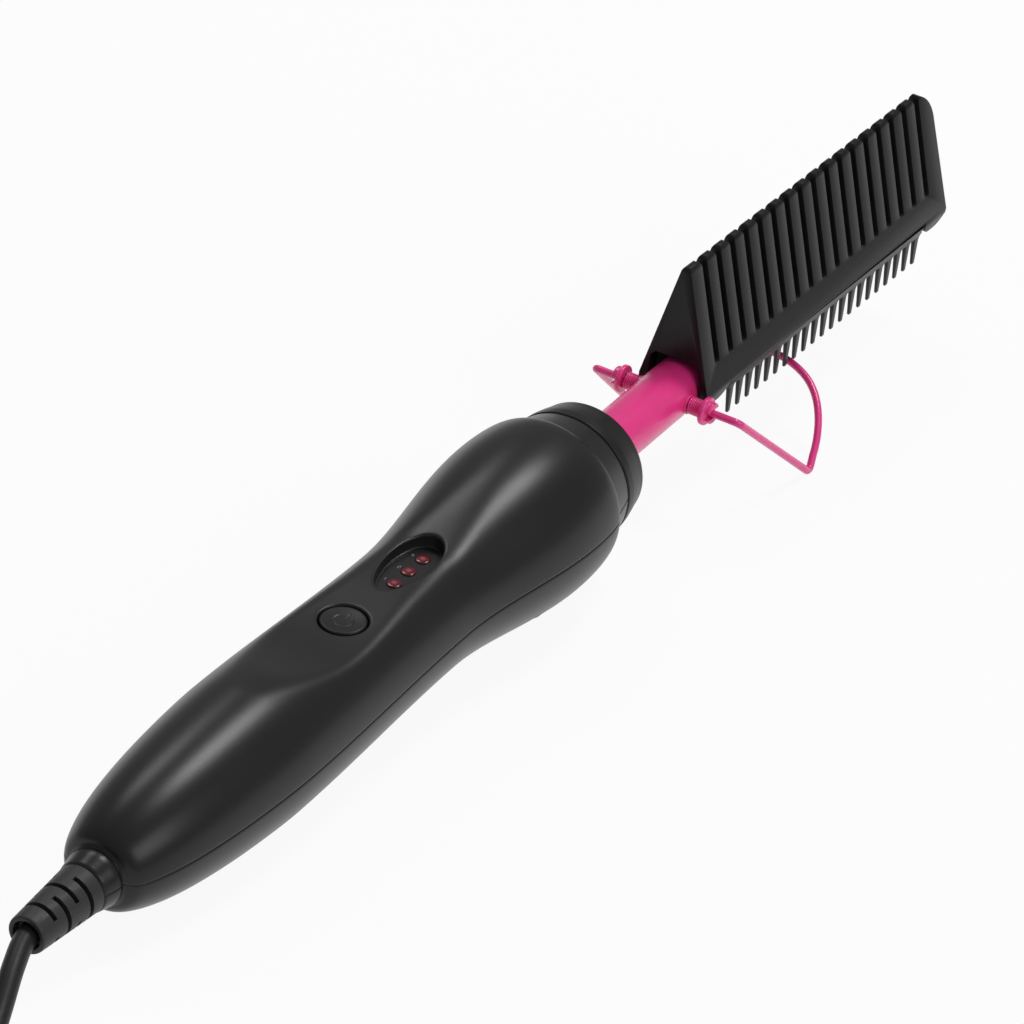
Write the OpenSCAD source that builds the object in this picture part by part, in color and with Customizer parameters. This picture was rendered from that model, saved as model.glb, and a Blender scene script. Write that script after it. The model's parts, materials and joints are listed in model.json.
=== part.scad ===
// Electric hot comb: finned heating comb on a metal tube, two-shell handle, folding wire stand.
// Working frame: X runs along the handle axis from the butt to the comb tip, Z is up, Y is left.
// resting() turns that frame so that the comb lies on the table on its stand and its handle.

/* [Handle] */
// Distance of the rear swell of the handle from the butt crease
rear_swell_x = 45; // [40:1:52]
// Radius of the rear swell
rear_swell_r = 14.2; // [13.6:0.1:15]
// Distance of the waist from the butt crease
waist_x = 98; // [95:1:100]
// Radius of the waist
waist_r = 12.85; // [12.6:0.05:13.5]
// Distance of the front swell from the butt crease
front_swell_x = 136; // [134:1:138]
// Radius of the front swell
front_swell_r = 16.9; // [16.4:0.05:18]
// Distance of the shoulder where the front swell ends
shoulder_x = 146; // [145:0.5:147]
// Radius of the edge of the shoulder
shoulder_r = 15.4; // [15.2:0.1:15.8]
// Radius of the tapered neck next to the shoulder
neck_r = 14.9; // [14.6:0.1:15]
// Radius of the tapered neck next to the collar
neck_front_r = 13.3; // [13:0.1:13.6]
// Length of the neck
neck_length = 6.6; // [6:0.1:7]
// Wall of both handle shells
shell_wall = 2; // [1.6:0.1:2.4]
// Height of the parting line above the handle axis
parting_z = 0.6; // [0:0.1:1]
// Height of the thumb rest above the handle axis, at the button
flat_z = 10.95; // [10.8:0.05:11.2]
// Fullness of the rounded butt next to its ring
butt_bulge = 1.6; // [1:0.1:2]
// Outer radius of the ring at the butt
butt_ring_r = 5.6; // [5.2:0.1:6]
// Length of the ring at the butt
butt_ring_length = 4.4; // [3.6:0.1:5.5]

/* [Collar and tube] */
// Length of the front collar
collar_length = 8; // [7.5:0.1:9.5]
// Radius of the front rim of the collar
collar_rim_r = 11.8; // [11.4:0.1:12.4]
// Gap between the neck and the collar
collar_gap = 0.3; // [0.2:0.05:0.5]
// Outer radius of the metal tube
tube_r = 5.3; // [5:0.05:5.5]
// Wall of the metal tube
tube_wall = 0.8; // [0.6:0.1:1]
// Length of tube that shows between the collar and the comb head
tube_show = 30.5; // [28:0.1:34]
// Depth of the tube inside the comb head
tube_in_comb = 22; // [20:0.5:24]

/* [Comb head] */
// Length of the comb head over its end plates
comb_length = 95.8; // [95.2:0.2:96.6]
// Height of the comb head above the tube axis
comb_height = 26.3; // [24:0.1:28]
// Half width of the comb head at its foot
comb_half_width = 7.55; // [7.3:0.05:7.8]
// Radius of the rounded ridge at the top of the fins
ridge_r = 1.1; // [0.9:0.05:1.4]
// Radius of the rounded corners of each fin's top
fin_corner_r = 1.1; // [0.8:0.1:1.4]
// Height at which the flanks start to slope
flank_start_z = 0.8; // [0.6:0.1:1.5]
// Downward tilt of the comb head against the tube
comb_tilt = 2.3; // [2:0.1:2.6]
// Number of slots across the ridge
slot_count = 17; // [15:1:17]
// Distance between slots
slot_pitch = 5.232; // [5.1:0.002:5.24]
// Width of a slot
slot_width = 1.9; // [1.6:0.1:2.2]
// Distance of the first slot from the near end
first_slot_x = 5.1; // [5:0.1:5.6]
// Height of the lower end of the slots
slot_floor_z = 5.6; // [5.4:0.1:6]
// Depth of the lugs at both ends below the flanks
lug_drop = 2.6; // [2.2:0.1:2.8]
// Radius of the rounded corner of the lugs
lug_corner_r = 3.6; // [3.2:0.1:4]
// Radius of the upper corner of the far end
end_corner_r = 6.5; // [6:0.1:7]

/* [Fine teeth] */
// Number of fine teeth in each row
tooth_count = 21; // [19:1:21]
// Distance between fine teeth
tooth_pitch = 3.71; // [3.6:0.01:3.72]
// Distance of the first fine tooth from the near end
first_tooth_x = 12.2; // [12:0.1:12.3]
// Width of a fine tooth at its root
tooth_root_width = 1.5; // [1.3:0.1:1.8]
// Width of a fine tooth at its tip
tooth_tip_width = 0.9; // [0.7:0.1:1.1]
// Length of the fine teeth below their plate
tooth_length = 7; // [6:0.1:7.2]
// Forward reach of a tooth's tip from its root
tooth_rake = 1.1; // [0.6:0.1:1.4]
// Thickness of the plate that carries the fine teeth
tooth_plate_t = 2.3; // [2:0.1:2.4]

/* [Stand] */
// Radius of the stand's wire
wire_r = 0.75; // [0.7:0.05:0.8]
// Distance of the stand's pivot behind the comb head
pivot_gap = 3; // [2.9:0.1:3.6]
// Half width of the stand at its upper bends
bend_half_width = 16.2; // [15.6:0.1:18]
// Half width of the stand at its feet
foot_half_width = 19.4; // [18.6:0.1:21]
// Forward reach of the legs from pivot to foot
leg_reach = 25; // [24:0.1:26]
// Drop of the legs from pivot to foot
leg_drop = 22.2; // [22:0.1:23.5]
// Upward slope of the arch in front of the feet
arch_slope = 31; // [29:0.5:31.5]
// Distance of the arch's centre in front of the feet
arch_lead = 1; // [0.6:0.1:1.4]
// Radius of the cap's flange
cap_flange_r = 2.8; // [2.5:0.1:2.9]
// Radius of the cap's slotted hub
cap_hub_r = 2.1; // [1.9:0.1:2.3]
// Outer radius of the pivot springs
spring_r = 1.75; // [1.7:0.05:1.85]
// Radius of the spring wire
spring_wire_r = 0.2; // [0.18:0.01:0.22]
// Curls of each pivot spring
spring_curls = 3; // [2:0.5:3]

/* [Button and lights] */
// Distance of the button from the butt crease
button_x = 75.5; // [72:0.5:77]
// Radius of the button
button_r = 4.3; // [4.2:0.1:4.5]
// Gap around the button
button_gap = 0.3; // [0.25:0.05:0.4]
// Travel of the button
button_travel = 0.6; // [0.4:0.1:0.7]
// Distance of the middle light from the butt crease
light_x = 96.5; // [96:0.1:97]
// Distance between the lights
light_pitch = 4.75; // [4.6:0.05:5]
// Side offset of the row of lights
light_y = -0.3; // [-0.6:0.1:0]
// Radius of a light's lens
light_r = 1.45; // [1.35:0.05:1.6]
// Height of the recess floor above the handle axis
recess_floor_z = 9.65; // [9.5:0.05:9.8]

/* [Cord] */
// Diameter of the mains cord
cord_d = 4; // [3.8:0.1:4.2]
// Length of the strain relief outside the butt ring
gland_length = 16; // [15:0.5:18]
// Radius of the strain relief at the butt ring
gland_root_r = 4.8; // [4.6:0.1:5]
// Radius of the strain relief at its open end
gland_tip_r = 3.7; // [3.6:0.1:4]
// Turns of cord in each layer of the coil
turns_per_layer = 3; // [3:1:3]
// Radius at which the coil's spiral turns round
coil_inner_r = 16; // [16:0.2:16.4]

/* [Hidden] */
$fn = 48;

fit = 0.05;
seat_gap = 0.1;
handle_end_x = shoulder_x + neck_length;
collar_x = handle_end_x + collar_gap;
collar_front_x = collar_x + collar_length;
comb_x = collar_front_x + tube_show;
pivot_x = comb_x - pivot_gap;
tube_end_x = comb_x + tube_in_comb;
cord_r = cord_d / 2;

// ---- Shape of the handle: one smooth profile from three swells ----
function ease(t) = t * t * (3 - 2 * t);
function butt_curve(x) = rear_swell_r * pow(1 - pow(1 - x / rear_swell_x, 1.5), 0.24)
    + butt_bulge * exp(-x / 2.2) * (1 - exp(-x / 0.5));
function waist_curve(x) = rear_swell_r
    + (waist_r - rear_swell_r) * ease((x - rear_swell_x) / (waist_x - rear_swell_x));
function chest_curve(x) = waist_r
    + (front_swell_r - waist_r) * ease((x - waist_x) / (front_swell_x - waist_x));
function shoulder_curve(x) = shoulder_r + (front_swell_r - shoulder_r)
    * sqrt(1 - pow((x - front_swell_x) / (shoulder_x - front_swell_x), 2));
function handle_r(x) = x <= rear_swell_x ? butt_curve(x)
    : x <= waist_x ? waist_curve(x)
    : x <= front_swell_x ? chest_curve(x) : shoulder_curve(min(x, shoulder_x));

butt_start_x = 0.6;
butt_steps = [0.022, 0.036, 0.055, 0.085, 0.13, 0.19, 0.28, 0.4, 0.54, 0.7, 0.85];
shoulder_steps = [0.2, 0.4, 0.57, 0.7, 0.81, 0.89, 0.95, 0.985, 1];
stations = concat([butt_start_x],
    [for (s = butt_steps) s * rear_swell_x],
    [for (s = [0:7]) rear_swell_x + s / 8 * (waist_x - rear_swell_x)],
    [for (s = [0:7]) waist_x + s / 8 * (front_swell_x - waist_x)],
    [front_swell_x],
    [for (s = shoulder_steps) front_swell_x + s * (shoulder_x - front_swell_x)]);

// ---- How the comb rests: on the two feet of the stand and the rear swell of the handle ----
foot_x = pivot_x + leg_reach;
function heel_height(a) = min([for (x = stations) if (x < waist_x) x * sin(a) - handle_r(x) * cos(a)]);
bend_r = wire_r + 0.05;
function foot_height(a) = foot_x * sin(a) - leg_drop * cos(a) - bend_r;
function settle(low, high, steps) = steps == 0 ? (low + high) / 2
    : let (a = (low + high) / 2) heel_height(a) > foot_height(a)
        ? settle(a, high, steps - 1) : settle(low, a, steps - 1);
rest_pitch = settle(0, 10, 30);
rest_z = -heel_height(rest_pitch);
gland_end_x = -butt_ring_length - gland_length;
gland_end_step = 0.4;
rear_reach = gland_end_x * cos(rest_pitch) - (gland_tip_r - gland_end_step) * sin(rest_pitch);
front_reach = comb_x * cos(rest_pitch) + comb_length * cos(rest_pitch - comb_tilt);
origin_x = (rear_reach + front_reach) / 2;

module resting() {
    translate([-origin_x, 0, rest_z]) rotate([0, -rest_pitch, 0]) children();
}
module comb_frame() {
    translate([comb_x, 0, 0]) rotate([0, comb_tilt, 0]) children();
}

// ---- Shared shapes ----
module along_x(x, length, r1, r2) {
    translate([x, 0, 0]) rotate([0, 90, 0]) cylinder(h = length, r1 = r1, r2 = r2);
}
module rod_x(x, length, r) {
    along_x(x, length, r, r);
}
module rod_y(x, y, z, length, r) {
    translate([x, y, z]) rotate([-90, 0, 0]) cylinder(h = length, r = r);
}
module rod_z(x, y, z, length, r) {
    translate([x, y, z]) cylinder(h = length, r = r);
}
module block(x, y, z, size) {
    translate([x, y, z]) cube(size);
}
// A screw that points up, with its head at the bottom
module screw_up(x, y, z, length, r, head_r, head_t) {
    rod_z(x, y, z, head_t, head_r);
    rod_z(x, y, z, head_t + length, r);
}
// A screw that points down, with its head on top
module screw_down(x, y, z, length, r, head_r, head_t) {
    rod_z(x, y, z, head_t, head_r);
    rod_z(x, y, z - length, length + head_t, r);
}

// A tube swept along points: each ring stands square to the path
function unit(v) = v / norm(v);
function tangent(p, i) = unit(p[min(i + 1, len(p) - 1)] - p[max(i - 1, 0)]);
function ring(c, t, up, r, sides) = let (a = unit(cross(up, t)), b = cross(t, a))
    [for (k = [0:sides - 1]) let (g = 360 * (k + 0.5) / sides) c + r * (cos(g) * a + sin(g) * b)];
module swept(p, r, sides, up) {
    n = len(p);
    rings = [for (i = [0:n - 1]) each ring(p[i], tangent(p, i), up, r, sides)];
    sides_a = [for (i = [0:n - 2], k = [0:sides - 1])
        [i * sides + k, i * sides + (k + 1) % sides, (i + 1) * sides + k]];
    sides_b = [for (i = [0:n - 2], k = [0:sides - 1])
        [i * sides + (k + 1) % sides, (i + 1) * sides + (k + 1) % sides, (i + 1) * sides + k]];
    end_a = [for (k = [1:sides - 2]) [0, k + 1, k]];
    end_b = [for (k = [1:sides - 2]) let (m = (n - 1) * sides) [m, m + k, m + k + 1]];
    polyhedron(rings, concat([for (f = sides_a) [f[0], f[2], f[1]]],
        [for (f = sides_b) [f[0], f[2], f[1]]],
        [for (f = end_a) [f[0], f[2], f[1]]], [for (f = end_b) [f[0], f[2], f[1]]]));
}
// Least gap between two turns of one tube, between points more than half a turn apart
function least_gap(p, r, apart) = min([for (i = [0:len(p) - 1 - apart], j = [i + apart:len(p) - 1])
    norm(p[i] - p[j])]) - 2 * r;

// ---- Handle shells ----
module handle_solid() {
    rotate([0, 90, 0]) rotate_extrude($fn = 96) polygon(concat(
        [[0, -butt_ring_length], [butt_ring_r - 1.1, -butt_ring_length],
            [butt_ring_r - 0.6, -butt_ring_length + 0.4], [butt_ring_r, -0.8],
            [butt_ring_r - 0.1, 0], [butt_ring_r - 0.3, butt_start_x]],
        [for (x = stations) [handle_r(x), x]],
        [[neck_r, shoulder_x + 0.3], [neck_front_r, handle_end_x - 0.2],
            [neck_front_r - 0.3, handle_end_x], [0, handle_end_x]]));
}
cavity_start_x = 6;
cavity_end_x = 142;
spigot_r = 11.6;
module handle_cavity() {
    difference() {
        rotate([0, 90, 0]) rotate_extrude($fn = 96) polygon(concat(
            [[0, cavity_start_x], [handle_r(cavity_start_x) - shell_wall, cavity_start_x]],
            [for (x = stations) if (x > cavity_start_x && x < cavity_end_x) [handle_r(x) - shell_wall, x]],
            [[handle_r(cavity_end_x) - shell_wall, cavity_end_x], [0, cavity_end_x]]));
        block(roof_start_x, -20, flat_z - shell_wall, [recess_roof_x - roof_start_x, 40, 10]);
        block(recess_roof_x, -20, recess_floor_z - shell_wall, [roof_end_x - recess_roof_x, 40, 10]);
    }
    rod_x(cavity_end_x - 0.1, handle_end_x - cavity_end_x + 0.2, spigot_r + fit);
    rod_x(-butt_ring_length - 0.1, cavity_start_x + butt_ring_length + 0.2, gland_neck_r + fit);
    rod_x(gland_flange_x - fit, gland_flange_t + 2 * fit, gland_flange_r + fit);
}
// Side view of the thumb rest: distance from the butt crease, height above its level at the button
rest_line = [[46, 3.4], [66, -0.1], [89, 0.4], [100, 0.9], [106, 1.5], [121, 5.2]];
rest_end_x = rest_line[len(rest_line) - 1][0];
roof_start_x = 50;
recess_roof_x = 84;
roof_end_x = 110;
module flat_cut() {
    translate([0, 20, 0]) rotate([90, 0, 0]) linear_extrude(40)
        polygon(concat([for (p = rest_line) [p[0], flat_z + p[1]]],
            [[rest_end_x, 30], [rest_line[0][0], 30]]));
}
recess_x = light_x - 0.1;
recess_y = -0.15;
recess_half_length = 9.4;
recess_half_width = 4.3;
module recess_cut() {
    translate([recess_x, recess_y, recess_floor_z]) linear_extrude(10)
        polygon([for (k = [0:35]) let (a = k * 10)
            [recess_half_length * cos(a), recess_half_width * sin(a) * (1 + 0.14 * cos(a))]]);
}
button_wall_z = flat_z - shell_wall;
rear_screw_x = 30;
rear_screw_y = 7.4;
front_screw_x = 124;
front_screw_y = 9.4;
shell_screw_places = [[rear_screw_x, rear_screw_y], [rear_screw_x, -rear_screw_y],
    [front_screw_x, front_screw_y], [front_screw_x, -front_screw_y]];
screw_r = 1.3;
screw_head_r = 2.4;
screw_head_t = 1.6;
boss_r = 3.2;
// Depth below the axis at which the screw heads sit
function screw_seat_z(x, y) = -sqrt(pow(handle_r(x), 2) - y * y) + 3;
half_size = [handle_end_x + 60, 80, 40];
module upper_half() {
    block(-30, -half_size[1] / 2, parting_z, half_size);
}
module lower_half() {
    block(-30, -half_size[1] / 2, parting_z - half_size[2], half_size);
}
board_x = 60;
board_length = 56;
board_half_width = 9;
board_z = 3.3;
board_t = 1.2;
board_top_z = board_z + board_t;
board_screw_places = [[board_x + 4, 6], [board_x + board_length - 4, -6]];
module handle_upper_shell() {
    resting() color([0.14, 0.14, 0.14]) difference() {
        union() {
            difference() {
                intersection() {
                    handle_solid();
                    upper_half();
                }
                handle_cavity();
            }
            intersection() {
                union() {
                    for (p = shell_screw_places) rod_z(p[0], p[1], parting_z, 20, boss_r);
                    difference() {
                        block(tube_stop_x - 2.5, -20, parting_z, [5 + tube_flange_t, 40, 20]);
                        rod_x(tube_stop_x - 3, 6 + tube_flange_t, tube_r + seat_gap);
                        rod_x(tube_stop_x - fit, tube_flange_t + 2 * fit, tube_flange_r + fit);
                    }
                }
                handle_solid();
                upper_half();
            }
        }
        flat_cut();
        recess_cut();
        rod_z(button_x, 0, button_wall_z - 1, 10, button_r + button_gap);
        for (i = [-1:1]) rod_z(light_x + i * light_pitch, light_y, recess_floor_z - 3, 6, light_r + fit);
        for (p = shell_screw_places) rod_z(p[0], p[1], parting_z - 1, 8.5, screw_r);
    }
}
module handle_lower_shell() {
    resting() color([0.12, 0.12, 0.12]) difference() {
        union() {
            difference() {
                intersection() {
                    handle_solid();
                    lower_half();
                }
                handle_cavity();
            }
            intersection() {
                union() {
                    for (p = shell_screw_places) rod_z(p[0], p[1], parting_z - 20, 20, boss_r);
                    for (p = board_screw_places) rod_z(p[0], p[1], board_z - 20, 20, 2.4);
                    for (s = [-1, 1]) rod_z(clamp_x, s * clamp_screw_y, clamp_seat_z - 20, 20, 2.2);
                    difference() {
                        block(tube_stop_x - 2.5, -20, parting_z - 20, [5 + tube_flange_t, 40, 20]);
                        rod_x(tube_stop_x - 3, 6 + tube_flange_t, tube_r + seat_gap);
                        rod_x(tube_stop_x - fit, tube_flange_t + 2 * fit, tube_flange_r + fit);
                    }
                }
                handle_solid();
                union() {
                    lower_half();
                    for (p = board_screw_places) rod_z(p[0], p[1], -1, board_z + 1, 2.4);
                }
            }
        }
        for (p = shell_screw_places) {
            rod_z(p[0], p[1], -30, 40, screw_r + seat_gap);
            rod_z(p[0], p[1], -30, 30 + screw_seat_z(p[0], p[1]) + screw_head_t, screw_head_r + seat_gap);
        }
        for (p = board_screw_places) rod_z(p[0], p[1], board_z - 5, 6, board_screw_r);
        for (s = [-1, 1]) rod_z(clamp_x, s * clamp_screw_y, clamp_seat_z - 4, 5, board_screw_r);
    }
}
module shell_screws() {
    resting() color([0.55, 0.56, 0.58]) for (p = shell_screw_places)
        screw_up(p[0], p[1], screw_seat_z(p[0], p[1]),
            parting_z + 6.5 - screw_seat_z(p[0], p[1]) - screw_head_t, screw_r, screw_head_r, screw_head_t);
}

// ---- Collar, tube and bush ----
bush_r = 8.6;
module front_collar() {
    resting() color([0.1, 0.1, 0.1]) rotate([0, 90, 0]) rotate_extrude($fn = 96)
        difference() {
            polygon([[tube_r + 0.3, collar_x], [spigot_r, collar_x - collar_gap - 6],
                [spigot_r, collar_x], [neck_front_r - 0.3, collar_x], [neck_front_r, collar_x + 0.3],
                [neck_front_r - 0.35, collar_x + 2], [collar_rim_r + 0.7, collar_x + 3.9],
                [collar_rim_r + 0.25, collar_x + 5.7], [collar_rim_r, collar_front_x - 1],
                [collar_rim_r - 0.4, collar_front_x - 0.4], [collar_rim_r - 1.2, collar_front_x - 0.1],
                [collar_rim_r - 2.2, collar_front_x], [tube_r + 0.3, collar_front_x]]);
            translate([0, collar_x - 10]) square([bush_r + fit, 15]);
        }
}
tube_start_x = 119;
tube_stop_x = 138;
tube_flange_r = 8;
tube_flange_t = 1.6;
module tube_bush() {
    resting() color([0.75, 0.7, 0.6]) difference() {
        rod_x(collar_x - 5.5, 10.4, bush_r);
        rod_x(collar_x - 6, 12, tube_r + fit);
    }
}
module heat_tube() {
    resting() color([0.9, 0.42, 0.66]) difference() {
        union() {
            rod_x(tube_start_x, tube_end_x - tube_start_x, tube_r);
            rod_x(tube_stop_x, tube_flange_t, tube_flange_r);
            rod_y(pivot_x, -tube_r - boss_height, 0, 2 * (tube_r + boss_height), spring_seat_r);
        }
        rod_x(tube_start_x - 1, tube_end_x - tube_start_x + 2, tube_r - tube_wall);
        rod_y(pivot_x, -tube_r - 2, 0, 2 * tube_r + 4, wire_r + fit);
        comb_frame() for (x = comb_screw_x) {
            rod_z(x, 0, -1, 12, comb_screw_r + seat_gap);
            rod_z(x, 0, -12, 11, comb_screw_head_r + seat_gap);
        }
    }
}

// ---- Comb head ----
// Half width of the comb head at a height above its foot
function flank_half(z) = z <= flank_start_z ? comb_half_width
    : comb_half_width - (z - flank_start_z) * tan(flank_angle);
ridge_z = comb_height - ridge_r;
flank_rise = ridge_z - flank_start_z;
flank_angle = atan(comb_half_width / flank_rise) - asin(ridge_r / norm([comb_half_width, flank_rise]));
lug_bevel = 0.32;
module head_section(bottom) {
    half = [[comb_half_width - lug_bevel * bottom, -bottom], [comb_half_width, 0],
        [comb_half_width, flank_start_z]];
    ridge = [for (k = [0:6]) let (a = flank_angle + k / 6 * (180 - 2 * flank_angle))
        [ridge_r * cos(a), ridge_z + ridge_r * sin(a)]];
    polygon(concat(half, ridge, [for (k = [2:-1:0]) [-half[k][0], half[k][1]]]));
}
// Turns a drawing in width and height into a bar along the comb
module bar(x, length) {
    translate([x, 0, 0]) rotate([90, 0, 90]) linear_extrude(length) children();
}
// Turns a drawing in length and height into a slab across the comb
module slab(half_width) {
    translate([0, half_width, 0]) rotate([90, 0, 0]) linear_extrude(2 * half_width) children();
}
near_lug_length = 5.6;
far_lug_x = comb_length - 4.9;
near_corner_r = 1.2;
// The far end leans back by this much from its foot to its upper corner
end_draft = 0.9;
core_half_width = 4.4;
core_top_z = 9;
// Rounds the corners that face away from each other on both sides of a gap in a top edge
module rounded_gap(x, half_gap, z, r) {
    difference() {
        translate([x - half_gap - r, z - r]) square([2 * half_gap + 2 * r, 2 * r]);
        for (s = [-1, 1]) translate([x + s * (half_gap + r), z - r]) circle(r);
    }
}
module head_side_outline() {
    corner_z = comb_height - end_corner_r;
    corner_x = comb_length - end_draft - end_corner_r;
    difference() {
        union() {
            polygon([[0, 0], [comb_length, lug_corner_r - lug_drop], [corner_x + end_corner_r, corner_z],
                [corner_x, comb_height], [0, comb_height]]);
            translate([corner_x, corner_z]) circle(end_corner_r);
            translate([0, -lug_drop]) square([near_lug_length, lug_drop + 1]);
            for (x = [near_lug_length, far_lug_x, comb_length - lug_corner_r])
                translate([x, lug_corner_r - lug_drop]) circle(lug_corner_r);
            translate([far_lug_x, -lug_drop])
                square([comb_length - lug_corner_r - far_lug_x, lug_drop + 1]);
        }
        rounded_gap(-0.5, 0.5, comb_height, near_corner_r);
        for (i = [0:slot_count - 1])
            rounded_gap(first_slot_x + i * slot_pitch, slot_width / 2, comb_height, fin_corner_r);
    }
}
slot_r = slot_width / 2;
module slot_cutter(x) {
    floor_z = slot_floor_z + slot_r;
    bar(x - slot_r, slot_width) difference() {
        translate([-12, floor_z]) square([24, comb_height]);
        polygon([[-core_half_width, floor_z - 1], [-core_half_width, floor_z + 0.4],
            [-core_half_width + 1, core_top_z - 1], [-core_half_width + 2, core_top_z],
            [core_half_width - 2, core_top_z], [core_half_width - 1, core_top_z - 1],
            [core_half_width, floor_z + 0.4], [core_half_width, floor_z - 1]]);
    }
    for (s = [-1, 1]) rod_y(x, s > 0 ? core_half_width : -core_half_width - 6, floor_z, 6, slot_r);
}
mouth_half_width = 5.65;
mouth_top_z = 6.5;
mouth_depth = 3;
heater_x = 28;
heater_length = 58;
heater_half_width = 3.4;
heater_half_height = 1.8;
sleeve_t = 0.35;
heater_channel_top = 4.6;
heater_channel_half_width = 4;
comb_screw_x = [first_slot_x + 1.5 * slot_pitch, first_slot_x + 2.5 * slot_pitch];
comb_screw_r = 1.25;
comb_screw_head_r = 2.1;
module comb_head() {
    resting() color([0.13, 0.13, 0.14]) difference() {
        comb_frame() difference() {
            intersection() {
                slab(12) head_side_outline();
                bar(-3, comb_length + 8) head_section(3);
            }
            for (i = [0:slot_count - 1]) slot_cutter(first_slot_x + i * slot_pitch);
            bar(-1, mouth_depth + 1) polygon([[-mouth_half_width, -6], [-mouth_half_width, mouth_top_z - 1.2],
                [-mouth_half_width + 1.2, mouth_top_z], [mouth_half_width - 1.2, mouth_top_z],
                [mouth_half_width, mouth_top_z - 1.2], [mouth_half_width, -6]]);
            block(tube_in_comb - 1, -heater_channel_half_width, -6,
                [heater_x + heater_length + 1 - tube_in_comb, 2 * heater_channel_half_width,
                    heater_channel_top + 6]);
            for (x = comb_screw_x) rod_z(x, 0, -1, comb_screw_top_z + 1.4, comb_screw_r);
        }
        rod_x(comb_x - 3, tube_in_comb + 3.2, tube_r + fit);
        translate([comb_x - 3, -tube_r - fit, -12]) cube([tube_in_comb + 3.2, 2 * tube_r + 2 * fit, 12]);
    }
}
plate_start_x = near_lug_length + lug_corner_r + 1;
plate_end_x = far_lug_x - lug_corner_r;
plate_half_width = comb_half_width - 0.15;
plate_bevel = 0.9;
tongue_gap = 2;
tooth_root_y = plate_half_width - plate_bevel;
tooth_root_t = 0.9;
tooth_tip_t = 0.5;
tooth_lean = 0.65;
module tooth_gap(x) {
    root_gap = tooth_pitch - tooth_root_width;
    tip_gap = tooth_pitch - tooth_tip_width;
    tip_x = x + tooth_rake;
    translate([x, 0]) circle(root_gap / 2, $fn = 24);
    polygon([[x - root_gap / 2, 0], [x + root_gap / 2, 0],
        [tip_x + tip_gap / 2, -tooth_length], [tip_x - tip_gap / 2, -tooth_length]]);
}
module tooth_plate() {
    root_z = -tooth_plate_t;
    tip_z = root_z - tooth_length;
    first_edge = first_tooth_x - tooth_pitch / 2;
    row_length = tooth_count * tooth_pitch;
    resting() color([0.15, 0.15, 0.16]) difference() {
        comb_frame() difference() {
            union() {
                bar(plate_start_x, plate_end_x - plate_start_x) polygon([
                    [-plate_half_width, -0.02], [plate_half_width, -0.02],
                    [tooth_root_y, root_z], [-tooth_root_y, root_z]]);
                block(heater_x + tongue_gap, -heater_channel_half_width + seat_gap, root_z / 2,
                    [heater_length - 2 * tongue_gap - 2, 2 * (heater_channel_half_width - seat_gap),
                        heater_z - seat_gap - root_z / 2]);
                for (s = [-1, 1]) bar(first_edge, row_length) polygon([
                    [s * tooth_root_y, root_z + 0.3], [s * tooth_root_y, root_z],
                    [s * (tooth_root_y - tooth_lean), tip_z + 0.5],
                    [s * (tooth_root_y - tooth_lean - 0.2), tip_z],
                    [s * (tooth_root_y - tooth_lean - tooth_tip_t), tip_z],
                    [s * (tooth_root_y - tooth_root_t), root_z],
                    [s * (tooth_root_y - tooth_root_t), root_z + 0.3]]);
            }
            translate([0, 0, root_z - 0.9]) slab(12) for (i = [0:tooth_count])
                tooth_gap(first_edge + i * tooth_pitch);
            block(plate_end_x, -12, root_z - 0.5, [3, 24, 1]);
        }
        rod_x(comb_x - 3, tube_in_comb + 4, tube_r + 0.25);
    }
}
// Screws that hold the tube in the comb head, driven from below through the tube
module comb_screws() {
    resting() color([0.5, 0.5, 0.52]) comb_frame() for (x = comb_screw_x)
        screw_up(x, 0, comb_screw_seat_z, comb_screw_top_z - comb_screw_seat_z - comb_screw_head_t,
            comb_screw_r, comb_screw_head_r, comb_screw_head_t);
}
comb_screw_head_t = 1.1;
comb_screw_top_z = 8.6;
// The heads touch the curved inside of the tube with their edges
comb_screw_seat_z = sqrt(pow(tube_r - tube_wall, 2) - pow(comb_screw_head_r, 2)) - comb_screw_head_t - 0.15;
module heater_bar() {
    resting() color([0.85, 0.85, 0.82]) comb_frame() block(heater_x, -heater_half_width + sleeve_t,
        heater_z + sleeve_t, [heater_length - 2, 2 * (heater_half_width - sleeve_t),
            2 * (heater_half_height - sleeve_t)]);
}
heater_z = 0.9;
module heater_sleeve() {
    resting() color([0.75, 0.5, 0.15]) comb_frame() difference() {
        block(heater_x, -heater_half_width, heater_z,
            [heater_length - 2, 2 * heater_half_width, 2 * heater_half_height]);
        block(heater_x - 1, -heater_half_width + sleeve_t - 0.02, heater_z + sleeve_t - 0.02,
            [heater_length, 2 * (heater_half_width - sleeve_t) + 0.04,
                2 * (heater_half_height - sleeve_t) + 0.04]);
    }
}
fuse_x = 150;
module thermal_fuse() {
    resting() color([0.8, 0.8, 0.78]) translate([0, 0, -tube_r + tube_wall + 1.7]) {
        rod_x(fuse_x, 9, 1.6);
        rod_x(fuse_x - 4, 17, 0.4);
    }
}
probe_r = 0.9;
module temperature_probe() {
    resting() color([0.8, 0.3, 0.15]) comb_frame()
        translate([heater_x, 0, heater_channel_top - probe_r - seat_gap]) {
            rod_x(-5.2, 5, probe_r);
            rod_x(-6.2, 1.1, 0.35);
        }
}
lead_r = 0.6;
lead_y = 1.6;
lead_z = 0.7;
lead_end_x = comb_x + heater_x * cos(comb_tilt) - 0.2;
module heater_leads() {
    start_x = board_x + board_length - 1.5;
    resting() color([0.85, 0.85, 0.8]) for (s = [-1, 1]) translate([0, s * lead_y, lead_z]) {
        rod_x(start_x, lead_end_x - start_x, lead_r);
        translate([start_x, 0, 0]) sphere(lead_r);
        rod_z(start_x, 0, 0, board_z - lead_z - seat_gap, lead_r);
    }
}

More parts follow.
